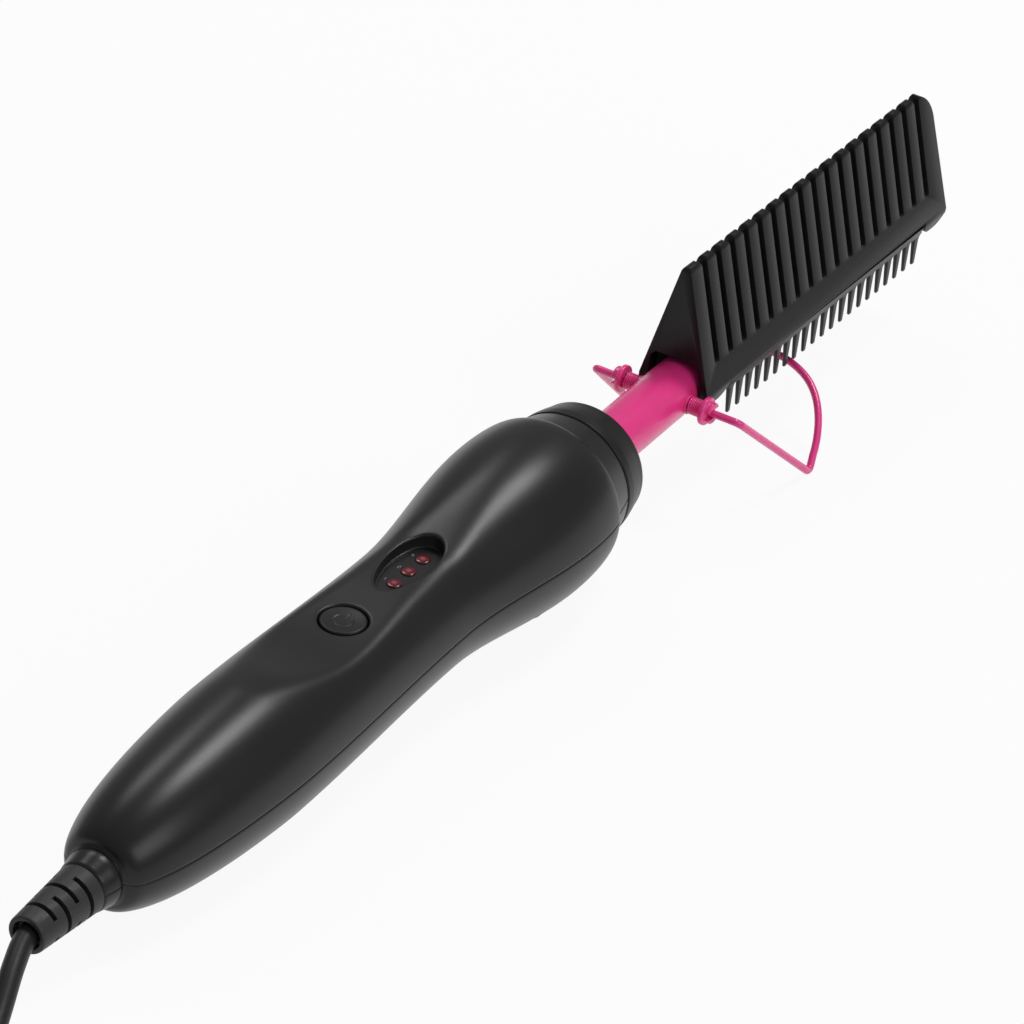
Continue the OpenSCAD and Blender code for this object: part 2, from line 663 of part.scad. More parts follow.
// ---- Folding stand ----
spring_seat_r = 1.95;
boss_height = 0.35;
cap_y = 8.7;
cap_flange_t = 0.9;
cap_hub_length = 1.9;
cap_slot = 1.7;
axle_end_y = 3;
stand_bend = [0, bend_half_width, 0];
stand_foot = [leg_reach, foot_half_width, -leg_drop];
// The arch is a little more than half a ring
arch_r = norm([foot_half_width, arch_lead]);
arch_turn = atan(arch_lead / foot_half_width);
// A straight piece of wire with a ball at its far end
module wire_piece(a, b) {
    v = b - a;
    translate(a) rotate([0, acos(v[2] / norm(v)), atan2(v[1], v[0])]) cylinder(h = norm(v), r = wire_r);
    translate(b) sphere(bend_r);
}
module stand_wire() {
    resting() color([0.9, 0.42, 0.66]) translate([pivot_x, 0, 0]) {
        for (s = [0, 1]) mirror([0, s, 0]) {
            wire_piece([0, axle_end_y, 0], stand_bend);
            wire_piece(stand_bend, stand_foot);
        }
        translate([leg_reach, 0, -leg_drop]) rotate([0, -arch_slope, 0]) translate([arch_lead, 0, 0])
            rotate([0, 0, -90 - arch_turn]) rotate_extrude(angle = 180 + 2 * arch_turn, $fn = 96)
            translate([arch_r, 0]) circle(wire_r, $fn = 32);
    }
}
module stand_cap(s) {
    resting() color([0.88, 0.4, 0.64]) translate([pivot_x, 0, 0]) difference() {
        rotate([s * -90, 0, 0]) translate([0, 0, cap_y]) {
            cylinder(h = cap_flange_t, r = cap_flange_r);
            translate([0, 0, cap_flange_t]) cylinder(h = cap_hub_length, r = cap_hub_r);
        }
        rotate([s * -90, 0, 0]) cylinder(h = 20, r = wire_r + 0.02);
        block(-4, s > 0 ? cap_y + cap_flange_t + cap_hub_length - 1.1
            : -cap_y - cap_flange_t - cap_hub_length - 0.9, -cap_slot / 2, [8, 2, cap_slot]);
    }
}
module stand_cap_right() {
    stand_cap(-1);
}
module stand_cap_left() {
    stand_cap(1);
}
spring_start_y = tube_r + boss_height + spring_wire_r + 0.02;
spring_end_y = cap_y - seat_gap - spring_wire_r;
function spring_point(s, t) = let (a = 360 * spring_curls * t, r = spring_r - spring_wire_r)
    [r * cos(a), s * (spring_start_y + (spring_end_y - spring_start_y) * t), r * sin(a)];
function spring_path(s) = [for (k = [0:spring_curls * 8]) spring_point(s, k / (spring_curls * 8))];
module stand_spring(s) {
    resting() color([0.85, 0.45, 0.65]) translate([pivot_x, 0, 0])
        swept(spring_path(s), spring_wire_r, 6, [0, 1, 0]);
}
module stand_spring_right() {
    stand_spring(-1);
}
module stand_spring_left() {
    stand_spring(1);
}

// ---- Button, switch and lights ----
button_sink = 0.15;
button_top_z = flat_z - button_sink;
plunger_top_z = button_wall_z - 0.8;
switch_t = 3;
switch_half = 3;
plunger_r = 1.7;
switch_floor_t = 0.7;
plunger_start_z = board_top_z + switch_floor_t + button_travel + 0.3;
module power_button() {
    resting() color([0.11, 0.11, 0.11]) difference() {
        union() {
            rod_z(button_x, 0, plunger_top_z + 0.02, button_top_z - plunger_top_z - 0.02, button_r);
            rod_z(button_x, 0, button_wall_z - 0.7, 0.6, button_r + 1);
        }
        translate([button_x, 0, button_top_z + 29.7]) sphere(r = 30, $fn = 96);
    }
}
module switch_plunger() {
    resting() color([0.2, 0.2, 0.2]) rod_z(button_x, 0, plunger_start_z,
        plunger_top_z - plunger_start_z, plunger_r);
}
module tact_switch() {
    resting() color([0.3, 0.3, 0.32]) difference() {
        block(button_x - switch_half, -switch_half, board_top_z, [2 * switch_half, 2 * switch_half, switch_t]);
        rod_z(button_x, 0, board_top_z + switch_floor_t, 4, plunger_r + 0.08);
    }
}
lens_top_z = recess_floor_z + 0.35;
module light(i) {
    resting() color([0.5, 0.05, 0.08]) translate([light_x + i * light_pitch, light_y, 0]) {
        rod_z(0, 0, board_top_z, 1.4, light_r + 0.3);
        rod_z(0, 0, board_top_z + 1.4, lens_top_z - board_top_z - 1.4, light_r);
    }
}
module light_low() {
    light(-1);
}
module light_middle() {
    light(0);
}
module light_high() {
    light(1);
}
board_screw_r = 0.9;
board_screw_length = 5;
triac_size = [10, 10, 4.6];
triac_ahead = 8;
capacitor_size = [13, 8, 7];
capacitor_ahead = 24;
chip_size = [5, 4, 1.5];
chip_ahead = 42;
// A part that hangs under the board, centred across it
module under_board(ahead, size) {
    block(board_x + ahead, -size[1] / 2, board_z - size[2], size);
}
module circuit_board() {
    resting() color([0.1, 0.35, 0.18]) difference() {
        block(board_x, -board_half_width, board_z, [board_length, 2 * board_half_width, board_t]);
        for (p = board_screw_places) rod_z(p[0], p[1], board_z - 1, 4, board_screw_r + seat_gap);
    }
}
module board_screws() {
    resting() color([0.6, 0.6, 0.62]) for (p = board_screw_places)
        screw_down(p[0], p[1], board_top_z, board_screw_length, board_screw_r, 1.9, 1.1);
}
module triac() {
    resting() color([0.12, 0.12, 0.12]) under_board(triac_ahead, triac_size);
}
module film_capacitor() {
    resting() color([0.6, 0.45, 0.1]) under_board(capacitor_ahead, capacitor_size);
}
module control_chip() {
    resting() color([0.08, 0.08, 0.08]) under_board(chip_ahead, chip_size);
}

// ---- Cord entry ----
gland_neck_r = 3.4;
gland_flange_x = 2;
gland_flange_t = 2;
gland_flange_r = 5.8;
gland_slot_pitch = 3.25;
gland_slot_width = 0.95;
gland_slot_depth = 1.25;
gland_slot_span = 130;
mouth_r = 3;
gland_mouth_depth = 3;
function gland_r(x) = gland_root_r + (gland_tip_r - gland_root_r)
    * (-butt_ring_length - x) / gland_length;
module cord_gland() {
    resting() color([0.2, 0.2, 0.21]) difference() {
        union() {
            along_x(gland_end_x + 0.5, gland_length - 0.5, gland_tip_r, gland_root_r);
            along_x(gland_end_x, 0.5, gland_tip_r - gland_end_step, gland_tip_r);
            rod_x(-butt_ring_length - 0.1, cavity_start_x + butt_ring_length + 1, gland_neck_r);
            rod_x(gland_flange_x, gland_flange_t, gland_flange_r);
        }
        rod_x(gland_end_x - 1, 40, cord_r + 0.02);
        along_x(gland_end_x - 0.1, gland_mouth_depth + 0.1, mouth_r, mouth_r - 0.2);
        for (i = [0:3], h = [0, 180]) {
            x = -butt_ring_length - 3.3 - i * gland_slot_pitch;
            turn = (i % 2 == 0 ? 70 : 160) + h - gland_slot_span / 2;
            translate([x - gland_slot_width / 2, 0, 0]) rotate([0, 90, 0]) rotate([0, 0, turn])
                rotate_extrude(angle = gland_slot_span) translate([gland_r(x) - gland_slot_depth, 0])
                square([4, gland_slot_width]);
        }
    }
}
cord_start_x = gland_end_x + gland_mouth_depth;
cord_tail_end_x = 20;
module cord_tail() {
    resting() color([0.24, 0.24, 0.25]) rod_x(cord_start_x, cord_tail_end_x - cord_start_x, cord_r);
}
clamp_x = 14;
clamp_screw_y = 5.4;
clamp_seat_z = -1.2;
module cord_clamp() {
    resting() color([0.85, 0.85, 0.82]) difference() {
        block(clamp_x - 3, -7.4, clamp_seat_z, [6, 14.8, 4.4]);
        rod_x(clamp_x - 4, 8, cord_r + 0.02);
        block(clamp_x - 4, -cord_r - 0.02, clamp_seat_z - 1, [8, 2 * cord_r + 0.04, 1 - clamp_seat_z]);
        for (s = [-1, 1]) rod_z(clamp_x, s * clamp_screw_y, clamp_seat_z - 1, 8, board_screw_r + seat_gap);
    }
}
module clamp_screws() {
    resting() color([0.6, 0.6, 0.62]) for (s = [-1, 1])
        screw_down(clamp_x, s * clamp_screw_y, clamp_seat_z + 4.4, 7.4, board_screw_r, 1.8, 1.1);
}
mains_lead_r = 0.7;
module mains_leads() {
    end_x = board_x + 1.5;
    resting() color([0.5, 0.3, 0.2]) for (s = [-1, 1]) translate([0, s * 0.95, 0]) {
        rod_x(cord_tail_end_x, end_x - cord_tail_end_x, mains_lead_r);
        translate([end_x, 0, 0]) sphere(mains_lead_r);
        rod_z(end_x, 0, 0, board_z - seat_gap, mains_lead_r);
    }
}

// ---- Mains cord: all of it is placed in the resting frame, on the table ----
cord_route = [[-150.6, 0, 11.1], [-152.1, 0, 11], [-153.6, -0.2, 10.9], [-156.5, -1, 10.6],
    [-159.4, -2.1, 10.1], [-162.2, -3.2, 9.4], [-165.1, -4.4, 8.4], [-168, -5.6, 7.3],
    [-171.7, -7.1, 6.1], [-175.4, -8.6, 5.1], [-179.1, -10.2, 4.3], [-182.8, -11.7, 3.7],
    [-186.5, -13.3, 3.4], [-190.2, -14.8, 3.2], [-193.6, -16.3, 3.2], [-196.9, -17.6, 3.2]];
plug_route = [[-204.3, -20.8, 16.7], [-206.6, -21.6, 16.8], [-209, -22.2, 17.3],
    [-212, -22.4, 18.2], [-215.4, -21.6, 19.6], [-218.4, -20, 21.2], [-220.9, -17.7, 22.5],
    [-222.7, -14.8, 23.5], [-223.9, -11.9, 24.2], [-225.1, -9.2, 24.5], [-226.3, -6.5, 24.5]];
coil_centre = [-212, 8];
coil_base_z = 3.2;
coil_start = -67.2;
coil_layers = 4;
layer_step = cord_d + 0.5;
coil_turns = turns_per_layer * coil_layers;
// The spiral runs in and out again, and climbs one layer while it turns round
function coil_r(t) = let (u = t - 2 * turns_per_layer * floor(t / (2 * turns_per_layer)))
    coil_inner_r + layer_step * abs(turns_per_layer - u);
function coil_z(t) = coil_base_z + layer_step * (let (k = round(t / turns_per_layer),
    d = t - k * turns_per_layer, c = k <= 0 ? 0 : k >= coil_layers ? coil_layers - 1 : k - 0.5)
    k <= 0 || k >= coil_layers ? c : c + (d <= -0.25 ? -0.5 : d >= 0.25 ? 0.5 : ease(2 * d + 0.5) - 0.5));
function coil_point(t) = let (a = coil_start - 360 * t, r = coil_r(t))
    [coil_centre[0] + r * cos(a), coil_centre[1] + r * sin(a), coil_z(t)];
coil_heading = [sin(coil_start), -cos(coil_start), 0];
coil_path = concat([coil_point(0) - cord_d * coil_heading],
    [for (k = [0:coil_turns * 24]) coil_point(k / 24)],
    [coil_point(coil_turns) + cord_d * coil_heading]);
module mains_cord() {
    color([0.24, 0.24, 0.25]) swept(cord_route, cord_r, 8, [0, 0, 1]);
}
module cord_coil() {
    color([0.24, 0.24, 0.25]) swept(coil_path, cord_r, 6, [0, 0, 1]);
}
tie_angle = 20;
tie_t = 0.8;
tie_width = 6;
tie_inner_r = coil_inner_r - cord_r + 0.6;
tie_outer_r = coil_inner_r + turns_per_layer * layer_step + cord_r - 0.6;
tie_top_z = coil_base_z + (coil_layers - 1) * layer_step + cord_r + 0.3;
module cord_tie() {
    color([0.1, 0.1, 0.1]) translate([coil_centre[0], coil_centre[1], 0]) rotate([0, 0, tie_angle])
        translate([0, tie_width / 2, 0]) rotate([90, 0, 0]) linear_extrude(tie_width) difference() {
            translate([tie_inner_r - tie_t, 0.1]) square([tie_outer_r - tie_inner_r + 2 * tie_t,
                tie_top_z + tie_t - 0.1]);
            translate([tie_inner_r, 0.1 + tie_t]) square([tie_outer_r - tie_inner_r,
                tie_top_z - 0.1 - tie_t]);
        }
}
module plug_lead() {
    color([0.24, 0.24, 0.25]) swept(plug_route, cord_r, 8, [0, 0, 1]);
}
plug_turn = 114;
plug_length = 30;
plug_half_width = 12;
plug_t = 11;
// Places a plug drawn along X at the end of its lead
module at_plug() {
    translate(plug_route[len(plug_route) - 1]) rotate([0, 0, plug_turn]) children();
}
module plug_body() {
    color([0.2, 0.2, 0.21]) at_plug() difference() {
        union() {
            rod_x(0, 12, cord_r + 1.6);
            translate([0, 0, -plug_t / 2]) linear_extrude(plug_t)
                polygon([[9, -5], [9, 5], [14, 8.6], [22, plug_half_width], [plug_length, plug_half_width],
                    [plug_length, -plug_half_width], [22, -plug_half_width], [14, -8.6]]);
        }
        for (y = [-6.35, 6.35]) block(plug_length - 8, y - 0.75, -3.15, [9, 1.5, 6.3]);
    }
}
module plug_pins() {
    color([0.8, 0.75, 0.5]) at_plug() for (y = [-6.35, 6.35])
        block(plug_length - 8, y - 0.73, -3.12, [8 + 17, 1.46, 6.24]);
}

handle_upper_shell();
handle_lower_shell();
front_collar();
heat_tube();
tube_bush();
comb_head();
tooth_plate();
comb_screws();
heater_bar();
heater_sleeve();
thermal_fuse();
temperature_probe();
heater_leads();
stand_wire();
stand_cap_right();
stand_cap_left();
stand_spring_right();
stand_spring_left();
power_button();
switch_plunger();
tact_switch();
light_low();
light_middle();
light_high();
circuit_board();
board_screws();
triac();
film_capacitor();
control_chip();
cord_gland();
cord_tail();
cord_clamp();
clamp_screws();
mains_leads();
shell_screws();
mains_cord();
cord_coil();
cord_tie();
plug_lead();
plug_body();
plug_pins();
echo(rest_pitch = rest_pitch, rest_z = rest_z, origin_x = origin_x);
echo(coil_gap = least_gap(coil_path, cord_r, 13), spring_gap = least_gap(spring_path(1), spring_wire_r, 5));
echo(coil_start_point = coil_path[0], coil_end_point = coil_path[len(coil_path) - 1]);
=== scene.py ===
"""Electric hot comb on its wire stand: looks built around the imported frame.

Sizes are in millimetres in the handle's own frame, where X runs along the handle from the butt
crease to the comb's tip, Y is left and Z is up. handle_frame turns them into the row frame in metres.
"""
import json
import math

import bmesh
import bpy
import numpy as np
from mathutils import Matrix, Vector
from mathutils.geometry import delaunay_2d_cdt


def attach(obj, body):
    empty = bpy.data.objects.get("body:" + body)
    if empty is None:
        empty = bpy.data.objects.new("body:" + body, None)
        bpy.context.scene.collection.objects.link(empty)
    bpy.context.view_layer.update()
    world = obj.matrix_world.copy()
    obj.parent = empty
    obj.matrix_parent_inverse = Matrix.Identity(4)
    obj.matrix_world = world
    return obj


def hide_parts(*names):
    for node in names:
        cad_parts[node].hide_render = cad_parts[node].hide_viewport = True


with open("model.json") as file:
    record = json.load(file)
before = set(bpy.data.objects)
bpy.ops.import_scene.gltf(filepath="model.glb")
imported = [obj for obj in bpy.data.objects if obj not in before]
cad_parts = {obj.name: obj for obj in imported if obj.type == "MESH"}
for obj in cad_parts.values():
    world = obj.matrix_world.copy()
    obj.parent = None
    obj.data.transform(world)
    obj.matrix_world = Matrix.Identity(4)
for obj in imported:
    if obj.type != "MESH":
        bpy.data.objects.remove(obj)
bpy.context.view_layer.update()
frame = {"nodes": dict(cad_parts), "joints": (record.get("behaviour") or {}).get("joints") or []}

# ---- Standpoint ----
# The photograph looks along the comb from behind the cord, with a long lens and from above.
# The handle's frame follows from the stand's hinge and from the button's travel, so that
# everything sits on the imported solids.
joints = {j["name"]: j for j in frame["joints"]}
press = Vector(joints["button_press"]["axis"]).normalized()
hinge_spot = Vector(joints["stand_hinge"]["pos_m"])
pivot_x = 188.4
handle_axis = Vector((-press.z, 0, press.x))
handle_turn = Matrix((handle_axis, (0, 1, 0), -press)).transposed().to_4x4()
handle_frame = (Matrix.Translation(hinge_spot - handle_axis * pivot_x * 0.001)
                @ handle_turn @ Matrix.Scale(0.001, 4))

camera_place = (-730.87, -482.86, 665.4)
camera_right = Vector((0.525859, -0.847862, 0.067748))
camera_up = Vector((0.444202, 0.341683, 0.828214))
camera_data = bpy.data.cameras.new("camera")
camera_data.sensor_width = 36
camera_data.lens = 228.5
camera_data.clip_end = 20
camera = bpy.data.objects.new("camera", camera_data)
bpy.context.scene.collection.objects.link(camera)
turn = Matrix((camera_right, camera_up, camera_right.cross(camera_up))).transposed().to_4x4()
camera.matrix_world = Matrix.Translation(handle_frame @ Vector(camera_place)) @ handle_turn @ turn
bpy.context.scene.camera = camera


# ---- Mains cord ----
# Round two-core flex with a dark grey rubber sheath, extruded and slightly satin. It leaves
# the strain relief, sags to the table and is stored in a coil that the camera doesn't see.
def new_piece(name, verts, faces, smooth=True):
    mesh = bpy.data.meshes.new(name)
    mesh.from_pydata([tuple(v) for v in verts], [], faces)
    mesh.validate()
    piece = bpy.data.objects.new(name, mesh)
    bpy.context.scene.collection.objects.link(piece)
    if smooth:
        mesh.shade_smooth()
    return piece


def closed_rings(rings, sides):
    """Faces of a closed tube: quads between rings of so many points, and a cap at each end."""
    quads = [(i * sides + k, i * sides + (k + 1) % sides, (i + 1) * sides + (k + 1) % sides,
              (i + 1) * sides + k) for i in range(rings - 1) for k in range(sides)]
    return quads + [tuple(range(sides))[::-1], tuple((rings - 1) * sides + k for k in range(sides))]


def tube_mesh(points, radius, sides, up=(0, 0, 1)):
    """Vertices and faces of a round tube along points; radius is one value or one for each point."""
    p = np.array(points, float)
    t = np.gradient(p, axis=0)
    t /= np.linalg.norm(t, axis=1)[:, None]
    side = np.cross(up, t)
    side /= np.linalg.norm(side, axis=1)[:, None]
    top = np.cross(t, side)
    r = np.broadcast_to(np.asarray(radius, float), (len(p),))
    angle = np.arange(sides) * 2 * math.pi / sides
    spokes = (np.cos(angle)[None, :, None] * side[:, None]
              + np.sin(angle)[None, :, None] * top[:, None])
    return (p[:, None] + r[:, None, None] * spokes).reshape(-1, 3), closed_rings(len(p), sides)


def smooth_path(points, step):
    """Even points on a smooth curve through given ones."""
    p = np.array(points, float)
    p = np.vstack([2 * p[0] - p[1], p, 2 * p[-1] - p[-2]])
    fine = []
    for a, b, c, d in zip(p[:-3], p[1:-2], p[2:-1], p[3:]):
        for t in np.linspace(0, 1, 24, endpoint=False):
            fine.append(0.5 * (2 * b + (c - a) * t + (2 * a - 5 * b + 4 * c - d) * t * t
                               + (3 * b - a - 3 * c + d) * t ** 3))
    fine.append(p[-2])
    fine = np.array(fine)
    along = np.concatenate([[0], np.cumsum(np.linalg.norm(np.diff(fine, axis=0), axis=1))])
    even = np.linspace(0, along[-1], max(2, int(along[-1] / step)))
    return np.column_stack([np.interp(even, along, fine[:, i]) for i in range(3)])


cord_diameter = 0.004
cord_route = [(-150.6, 0, 11.1), (-152.1, 0, 11), (-153.6, -0.2, 10.9), (-156.5, -1, 10.6),
              (-159.4, -2.1, 10.1), (-162.2, -3.2, 9.4), (-165.1, -4.4, 8.4), (-168, -5.6, 7.3),
              (-171.7, -7.1, 6.1), (-175.4, -8.6, 5.1), (-179.1, -10.2, 4.3), (-182.8, -11.7, 3.7),
              (-186.5, -13.3, 3.4), (-190.2, -14.8, 3.2), (-193.6, -16.3, 3.2), (-196.9, -17.6, 3.2)]
plug_route = [(-204.3, -20.8, 16.7), (-206.6, -21.6, 16.8), (-209, -22.2, 17.3),
              (-212, -22.4, 18.2), (-215.4, -21.6, 19.6), (-218.4, -20, 21.2), (-220.9, -17.7, 22.5),
              (-222.7, -14.8, 23.5), (-223.9, -11.9, 24.2), (-225.1, -9.2, 24.5), (-226.3, -6.5, 24.5)]
coil_centre = (-212, 8)
coil_base, coil_inner, layer_step, layer_turns, layers = 3.2, 16, 4.5, 3, 4
coil_start = math.radians(-67.2)


def coil_point(t):
    """A point of the coil after t turns: in and out again, with a climb at each turning."""
    u = t % (2 * layer_turns)
    r = coil_inner + layer_step * abs(layer_turns - u)
    k = round(t / layer_turns)
    d = t - k * layer_turns
    if 0 < k < layers:
        s = min(max(2 * d + 0.5, 0), 1)
        level = k - 1 + s * s * (3 - 2 * s)
    else:
        level = 0 if k <= 0 else layers - 1
    a = coil_start - 2 * math.pi * t
    return (coil_centre[0] + r * math.cos(a), coil_centre[1] + r * math.sin(a),
            coil_base + layer_step * level)


coil_turns = layer_turns * layers
coil = [coil_point(k / 48) for k in range(coil_turns * 48 + 1)]
cord_path = np.vstack([smooth_path(cord_route, 1.2)[:-1], coil[1:-1], smooth_path(plug_route, 1.2)]) * 0.001
cord = new_piece("mains_flex", *tube_mesh(cord_path, cord_diameter / 2, 16))


# Materials share one group that gives moulded, painted and cast skins their life: a fine grain,
# broad faint stains, and a slightly smoother or duller touch here and there.
def surface_group():
    group = bpy.data.node_groups.new("surface_life", "ShaderNodeTree")
    for name, kind, value in (("Color", "NodeSocketColor", (0.5, 0.5, 0.5, 1)),
                              ("Worn Color", "NodeSocketColor", (0.6, 0.6, 0.6, 1)),
                              ("Roughness", "NodeSocketFloat", 0.5),
                              ("Roughness Spread", "NodeSocketFloat", 0.1),
                              ("Grain Scale", "NodeSocketFloat", 3000),
                              ("Grain Height", "NodeSocketFloat", 0.2),
                              ("Grain Depth", "NodeSocketFloat", 0.00002),
                              ("Stain Scale", "NodeSocketFloat", 60),
                              ("Stain Amount", "NodeSocketFloat", 0.3)):
        socket = group.interface.new_socket(name, in_out="INPUT", socket_type=kind)
        socket.default_value = value
    for name, kind in (("Color", "NodeSocketColor"), ("Roughness", "NodeSocketFloat"),
                       ("Normal", "NodeSocketVector")):
        group.interface.new_socket(name, in_out="OUTPUT", socket_type=kind)
    node, link = group.nodes.new, group.links.new
    given, result = node("NodeGroupInput"), node("NodeGroupOutput")
    place = node("ShaderNodeTexCoord")
    grain, stain, mix = node("ShaderNodeTexNoise"), node("ShaderNodeTexNoise"), node("ShaderNodeMix")
    grain.inputs["Detail"].default_value = 2
    stain.inputs["Detail"].default_value = 4
    mix.data_type = "RGBA"
    link(place.outputs["Object"], grain.inputs["Vector"])
    link(place.outputs["Object"], stain.inputs["Vector"])
    link(given.outputs["Grain Scale"], grain.inputs["Scale"])
    link(given.outputs["Stain Scale"], stain.inputs["Scale"])
    spread = node("ShaderNodeMapRange")
    spread.inputs["From Min"].default_value = 0.35
    spread.inputs["From Max"].default_value = 0.7
    link(stain.outputs["Fac"], spread.inputs["Value"])
    link(given.outputs["Stain Amount"], spread.inputs["To Max"])
    link(spread.outputs["Result"], mix.inputs["Factor"])
    link(given.outputs["Color"], mix.inputs["A"])
    link(given.outputs["Worn Color"], mix.inputs["B"])
    link(mix.outputs["Result"], result.inputs["Color"])
    both = node("ShaderNodeMath")
    both.operation = "ADD"
    link(grain.outputs["Fac"], both.inputs[0])
    link(stain.outputs["Fac"], both.inputs[1])
    centred = node("ShaderNodeMath")
    centred.operation = "SUBTRACT"
    centred.inputs[1].default_value = 1
    link(both.outputs["Value"], centred.inputs[0])
    rough = node("ShaderNodeMath")
    rough.operation = "MULTIPLY_ADD"
    link(centred.outputs["Value"], rough.inputs[0])
    link(given.outputs["Roughness Spread"], rough.inputs[1])
    link(given.outputs["Roughness"], rough.inputs[2])
    link(rough.outputs["Value"], result.inputs["Roughness"])
    bump = node("ShaderNodeBump")
    link(grain.outputs["Fac"], bump.inputs["Height"])
    link(given.outputs["Grain Height"], bump.inputs["Strength"])
    link(given.outputs["Grain Depth"], bump.inputs["Distance"])
    link(bump.outputs["Normal"], result.inputs["Normal"])
    return group


surface_life = surface_group()


def skin_material(name, color, worn, roughness, spread=0.1, grain=3000, height=0.3, depth=0.00003,
                  stain=60, amount=0.3, metallic=0.0, coat=0.0, coat_roughness=0.2, specular=0.5):
    """A material whose colour, roughness and grain come from the shared group."""
    material = bpy.data.materials.new(name)
    material.use_nodes = True
    nodes, links = material.node_tree.nodes, material.node_tree.links
    shader = nodes["Principled BSDF"]
    life = nodes.new("ShaderNodeGroup")
    life.node_tree = surface_life
    for socket, value in (("Color", (*color, 1)), ("Worn Color", (*worn, 1)),
                          ("Roughness", roughness), ("Roughness Spread", spread),
                          ("Grain Scale", grain), ("Grain Height", height), ("Grain Depth", depth),
                          ("Stain Scale", stain), ("Stain Amount", amount)):
        life.inputs[socket].default_value = value
    for source, socket in (("Color", "Base Color"), ("Roughness", "Roughness"), ("Normal", "Normal")):
        links.new(life.outputs[source], shader.inputs[socket])
    for socket, value in (("Metallic", metallic), ("Coat Weight", coat),
                          ("Coat Roughness", coat_roughness), ("Specular IOR Level", specular)):
        shader.inputs[socket].default_value = value
    return material


def dress(piece, material, body, slot, *nodes):
    """Gives a piece its material and the body it rides on, and hides the imported nodes that it stands for."""
    piece.data.materials.clear()
    piece.data.materials.append(material)
    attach(piece, body)
    if nodes:
        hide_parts(*nodes)


def coat_node(name, material):
    """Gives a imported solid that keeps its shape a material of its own."""
    frame["nodes"][name].data.materials.clear()
    frame["nodes"][name].data.materials.append(material)


flex_rubber = skin_material("flex_rubber", (0.015, 0.015, 0.0153), (0.022, 0.022, 0.0224), 0.45, 0.12,
                            grain=2200, height=0.25, stain=90, specular=0.25)
dress(cord, flex_rubber, "handle", "cord_rubber", "mains_cord", "cord_coil", "plug_lead")
plug_rubber = skin_material("plug_rubber", (0.03, 0.03, 0.031), (0.045, 0.045, 0.046), 0.5, 0.1)
pin_brass = skin_material("pin_brass", (0.72, 0.55, 0.25), (0.6, 0.45, 0.2), 0.28, 0.1, grain=1500,
                          height=0.05, metallic=1.0)
strap_weave = skin_material("strap_weave", (0.02, 0.02, 0.02), (0.035, 0.035, 0.035), 0.8, 0.1,
                            grain=4000, height=0.8, depth=0.0001)
coat_node("plug_body", plug_rubber)
coat_node("plug_pins", pin_brass)
coat_node("cord_tie", strap_weave)
coat_node("cord_tail", flex_rubber)


# ---- Handle shells ----
# Two injection-moulded halves in satin black plastic, screwed together from below and parted
# just above the middle. The top half is flattened where the thumb rests, with a round hole for
# the button and an oval recess for the lights.
def ease(t):
    t = np.clip(t, 0, 1)
    return t * t * (3 - 2 * t)


rear_swell, waist, chest, shoulder, neck_end = 45, 98, 136, 146, 152.7
rear_r, waist_r, chest_r, shoulder_r, neck_r, neck_front_r = 14.2, 12.85, 16.9, 15.4, 14.9, 13.3
parting = 0.6
butt_bulge, bulge_length, bulge_start = 1.6, 2.2, 0.5


def handle_radius(x):
    """Radius of the handle: a rounded butt, a rear swell, a waist, a chest and a shoulder."""
    x = np.asarray(x, float)
    butt = rear_r * (1 - np.clip(1 - x / rear_swell, 0, 1) ** 1.5) ** 0.24
    butt = butt + butt_bulge * np.exp(-x / bulge_length) * (1 - np.exp(-x / bulge_start))
    mid = rear_r + (waist_r - rear_r) * ease((x - rear_swell) / (waist - rear_swell))
    front = waist_r + (chest_r - waist_r) * ease((x - waist) / (chest - waist))
    over = np.clip((x - chest) / (shoulder - chest), 0, 1)
    end = shoulder_r + (chest_r - shoulder_r) * np.sqrt(1 - over ** 2)
    return np.where(x <= rear_swell, butt, np.where(x <= waist, mid, np.where(x <= chest, front, end)))


def outer_radius(x):
    """The handle's radius with the ring at its butt and the tapered neck in front."""
    x = np.asarray(x, float)
    body = handle_radius(np.clip(x, 0.6, None))
    ring = np.interp(x, [-4.4, -4.25, -3.9, -3.4, -0.9, -0.25, 0.15, 0.6],
                     [4.45, 4.75, 4.98, 5.08, 5.6, 5.58, 5.4, 5.3])
    neck = np.interp(x, [shoulder, shoulder + 0.15, shoulder + 0.35, neck_end - 0.5, neck_end - 0.2, neck_end],
                     [shoulder_r, shoulder_r - 0.3, neck_r, neck_front_r + 0.15, neck_front_r + 0.08,
                      neck_front_r - 0.1])
    return np.where(x < 0.6, ring, np.where(x > shoulder, neck, body))


flat_z = 10.95
rest_line = [(46, 3.4), (66, -0.1), (89, 0.4), (100, 0.9), (106, 1.5), (121, 5.2)]
(rest_rear, rear_rise), (rest_front, front_rise) = rest_line[0], rest_line[-1]
rear_slope, front_slope = 0.25, 0.26
rest_curve = smooth_path([(a, flat_z + b, 0) for a, b in rest_line], 0.5)


def flat_height(x):
    """Height of the thumb rest, which runs out into the round handle at both ends."""
    x = np.asarray(x)
    rear = flat_z + rear_rise + (rest_rear - x) * rear_slope
    front = flat_z + front_rise + (x - rest_front) * front_slope
    between = np.interp(x, rest_curve[:, 0], rest_curve[:, 1])
    return np.where(x < rest_rear, rear, np.where(x > rest_front, front, between))


def soft_min(a, b, k):
    h = np.clip(0.5 + 0.5 * (b - a) / k, 0, 1)
    return b + (a - b) * h - k * h * (1 - h)


button_x, button_r, button_hole_r = 75.5, 4.3, 4.62
light_x, light_pitch, light_y = 96.5, 4.75, -0.3
recess_x, recess_y, recess_length, recess_width, recess_floor = 96.4, -0.15, 9.4, 4.3, 9.65


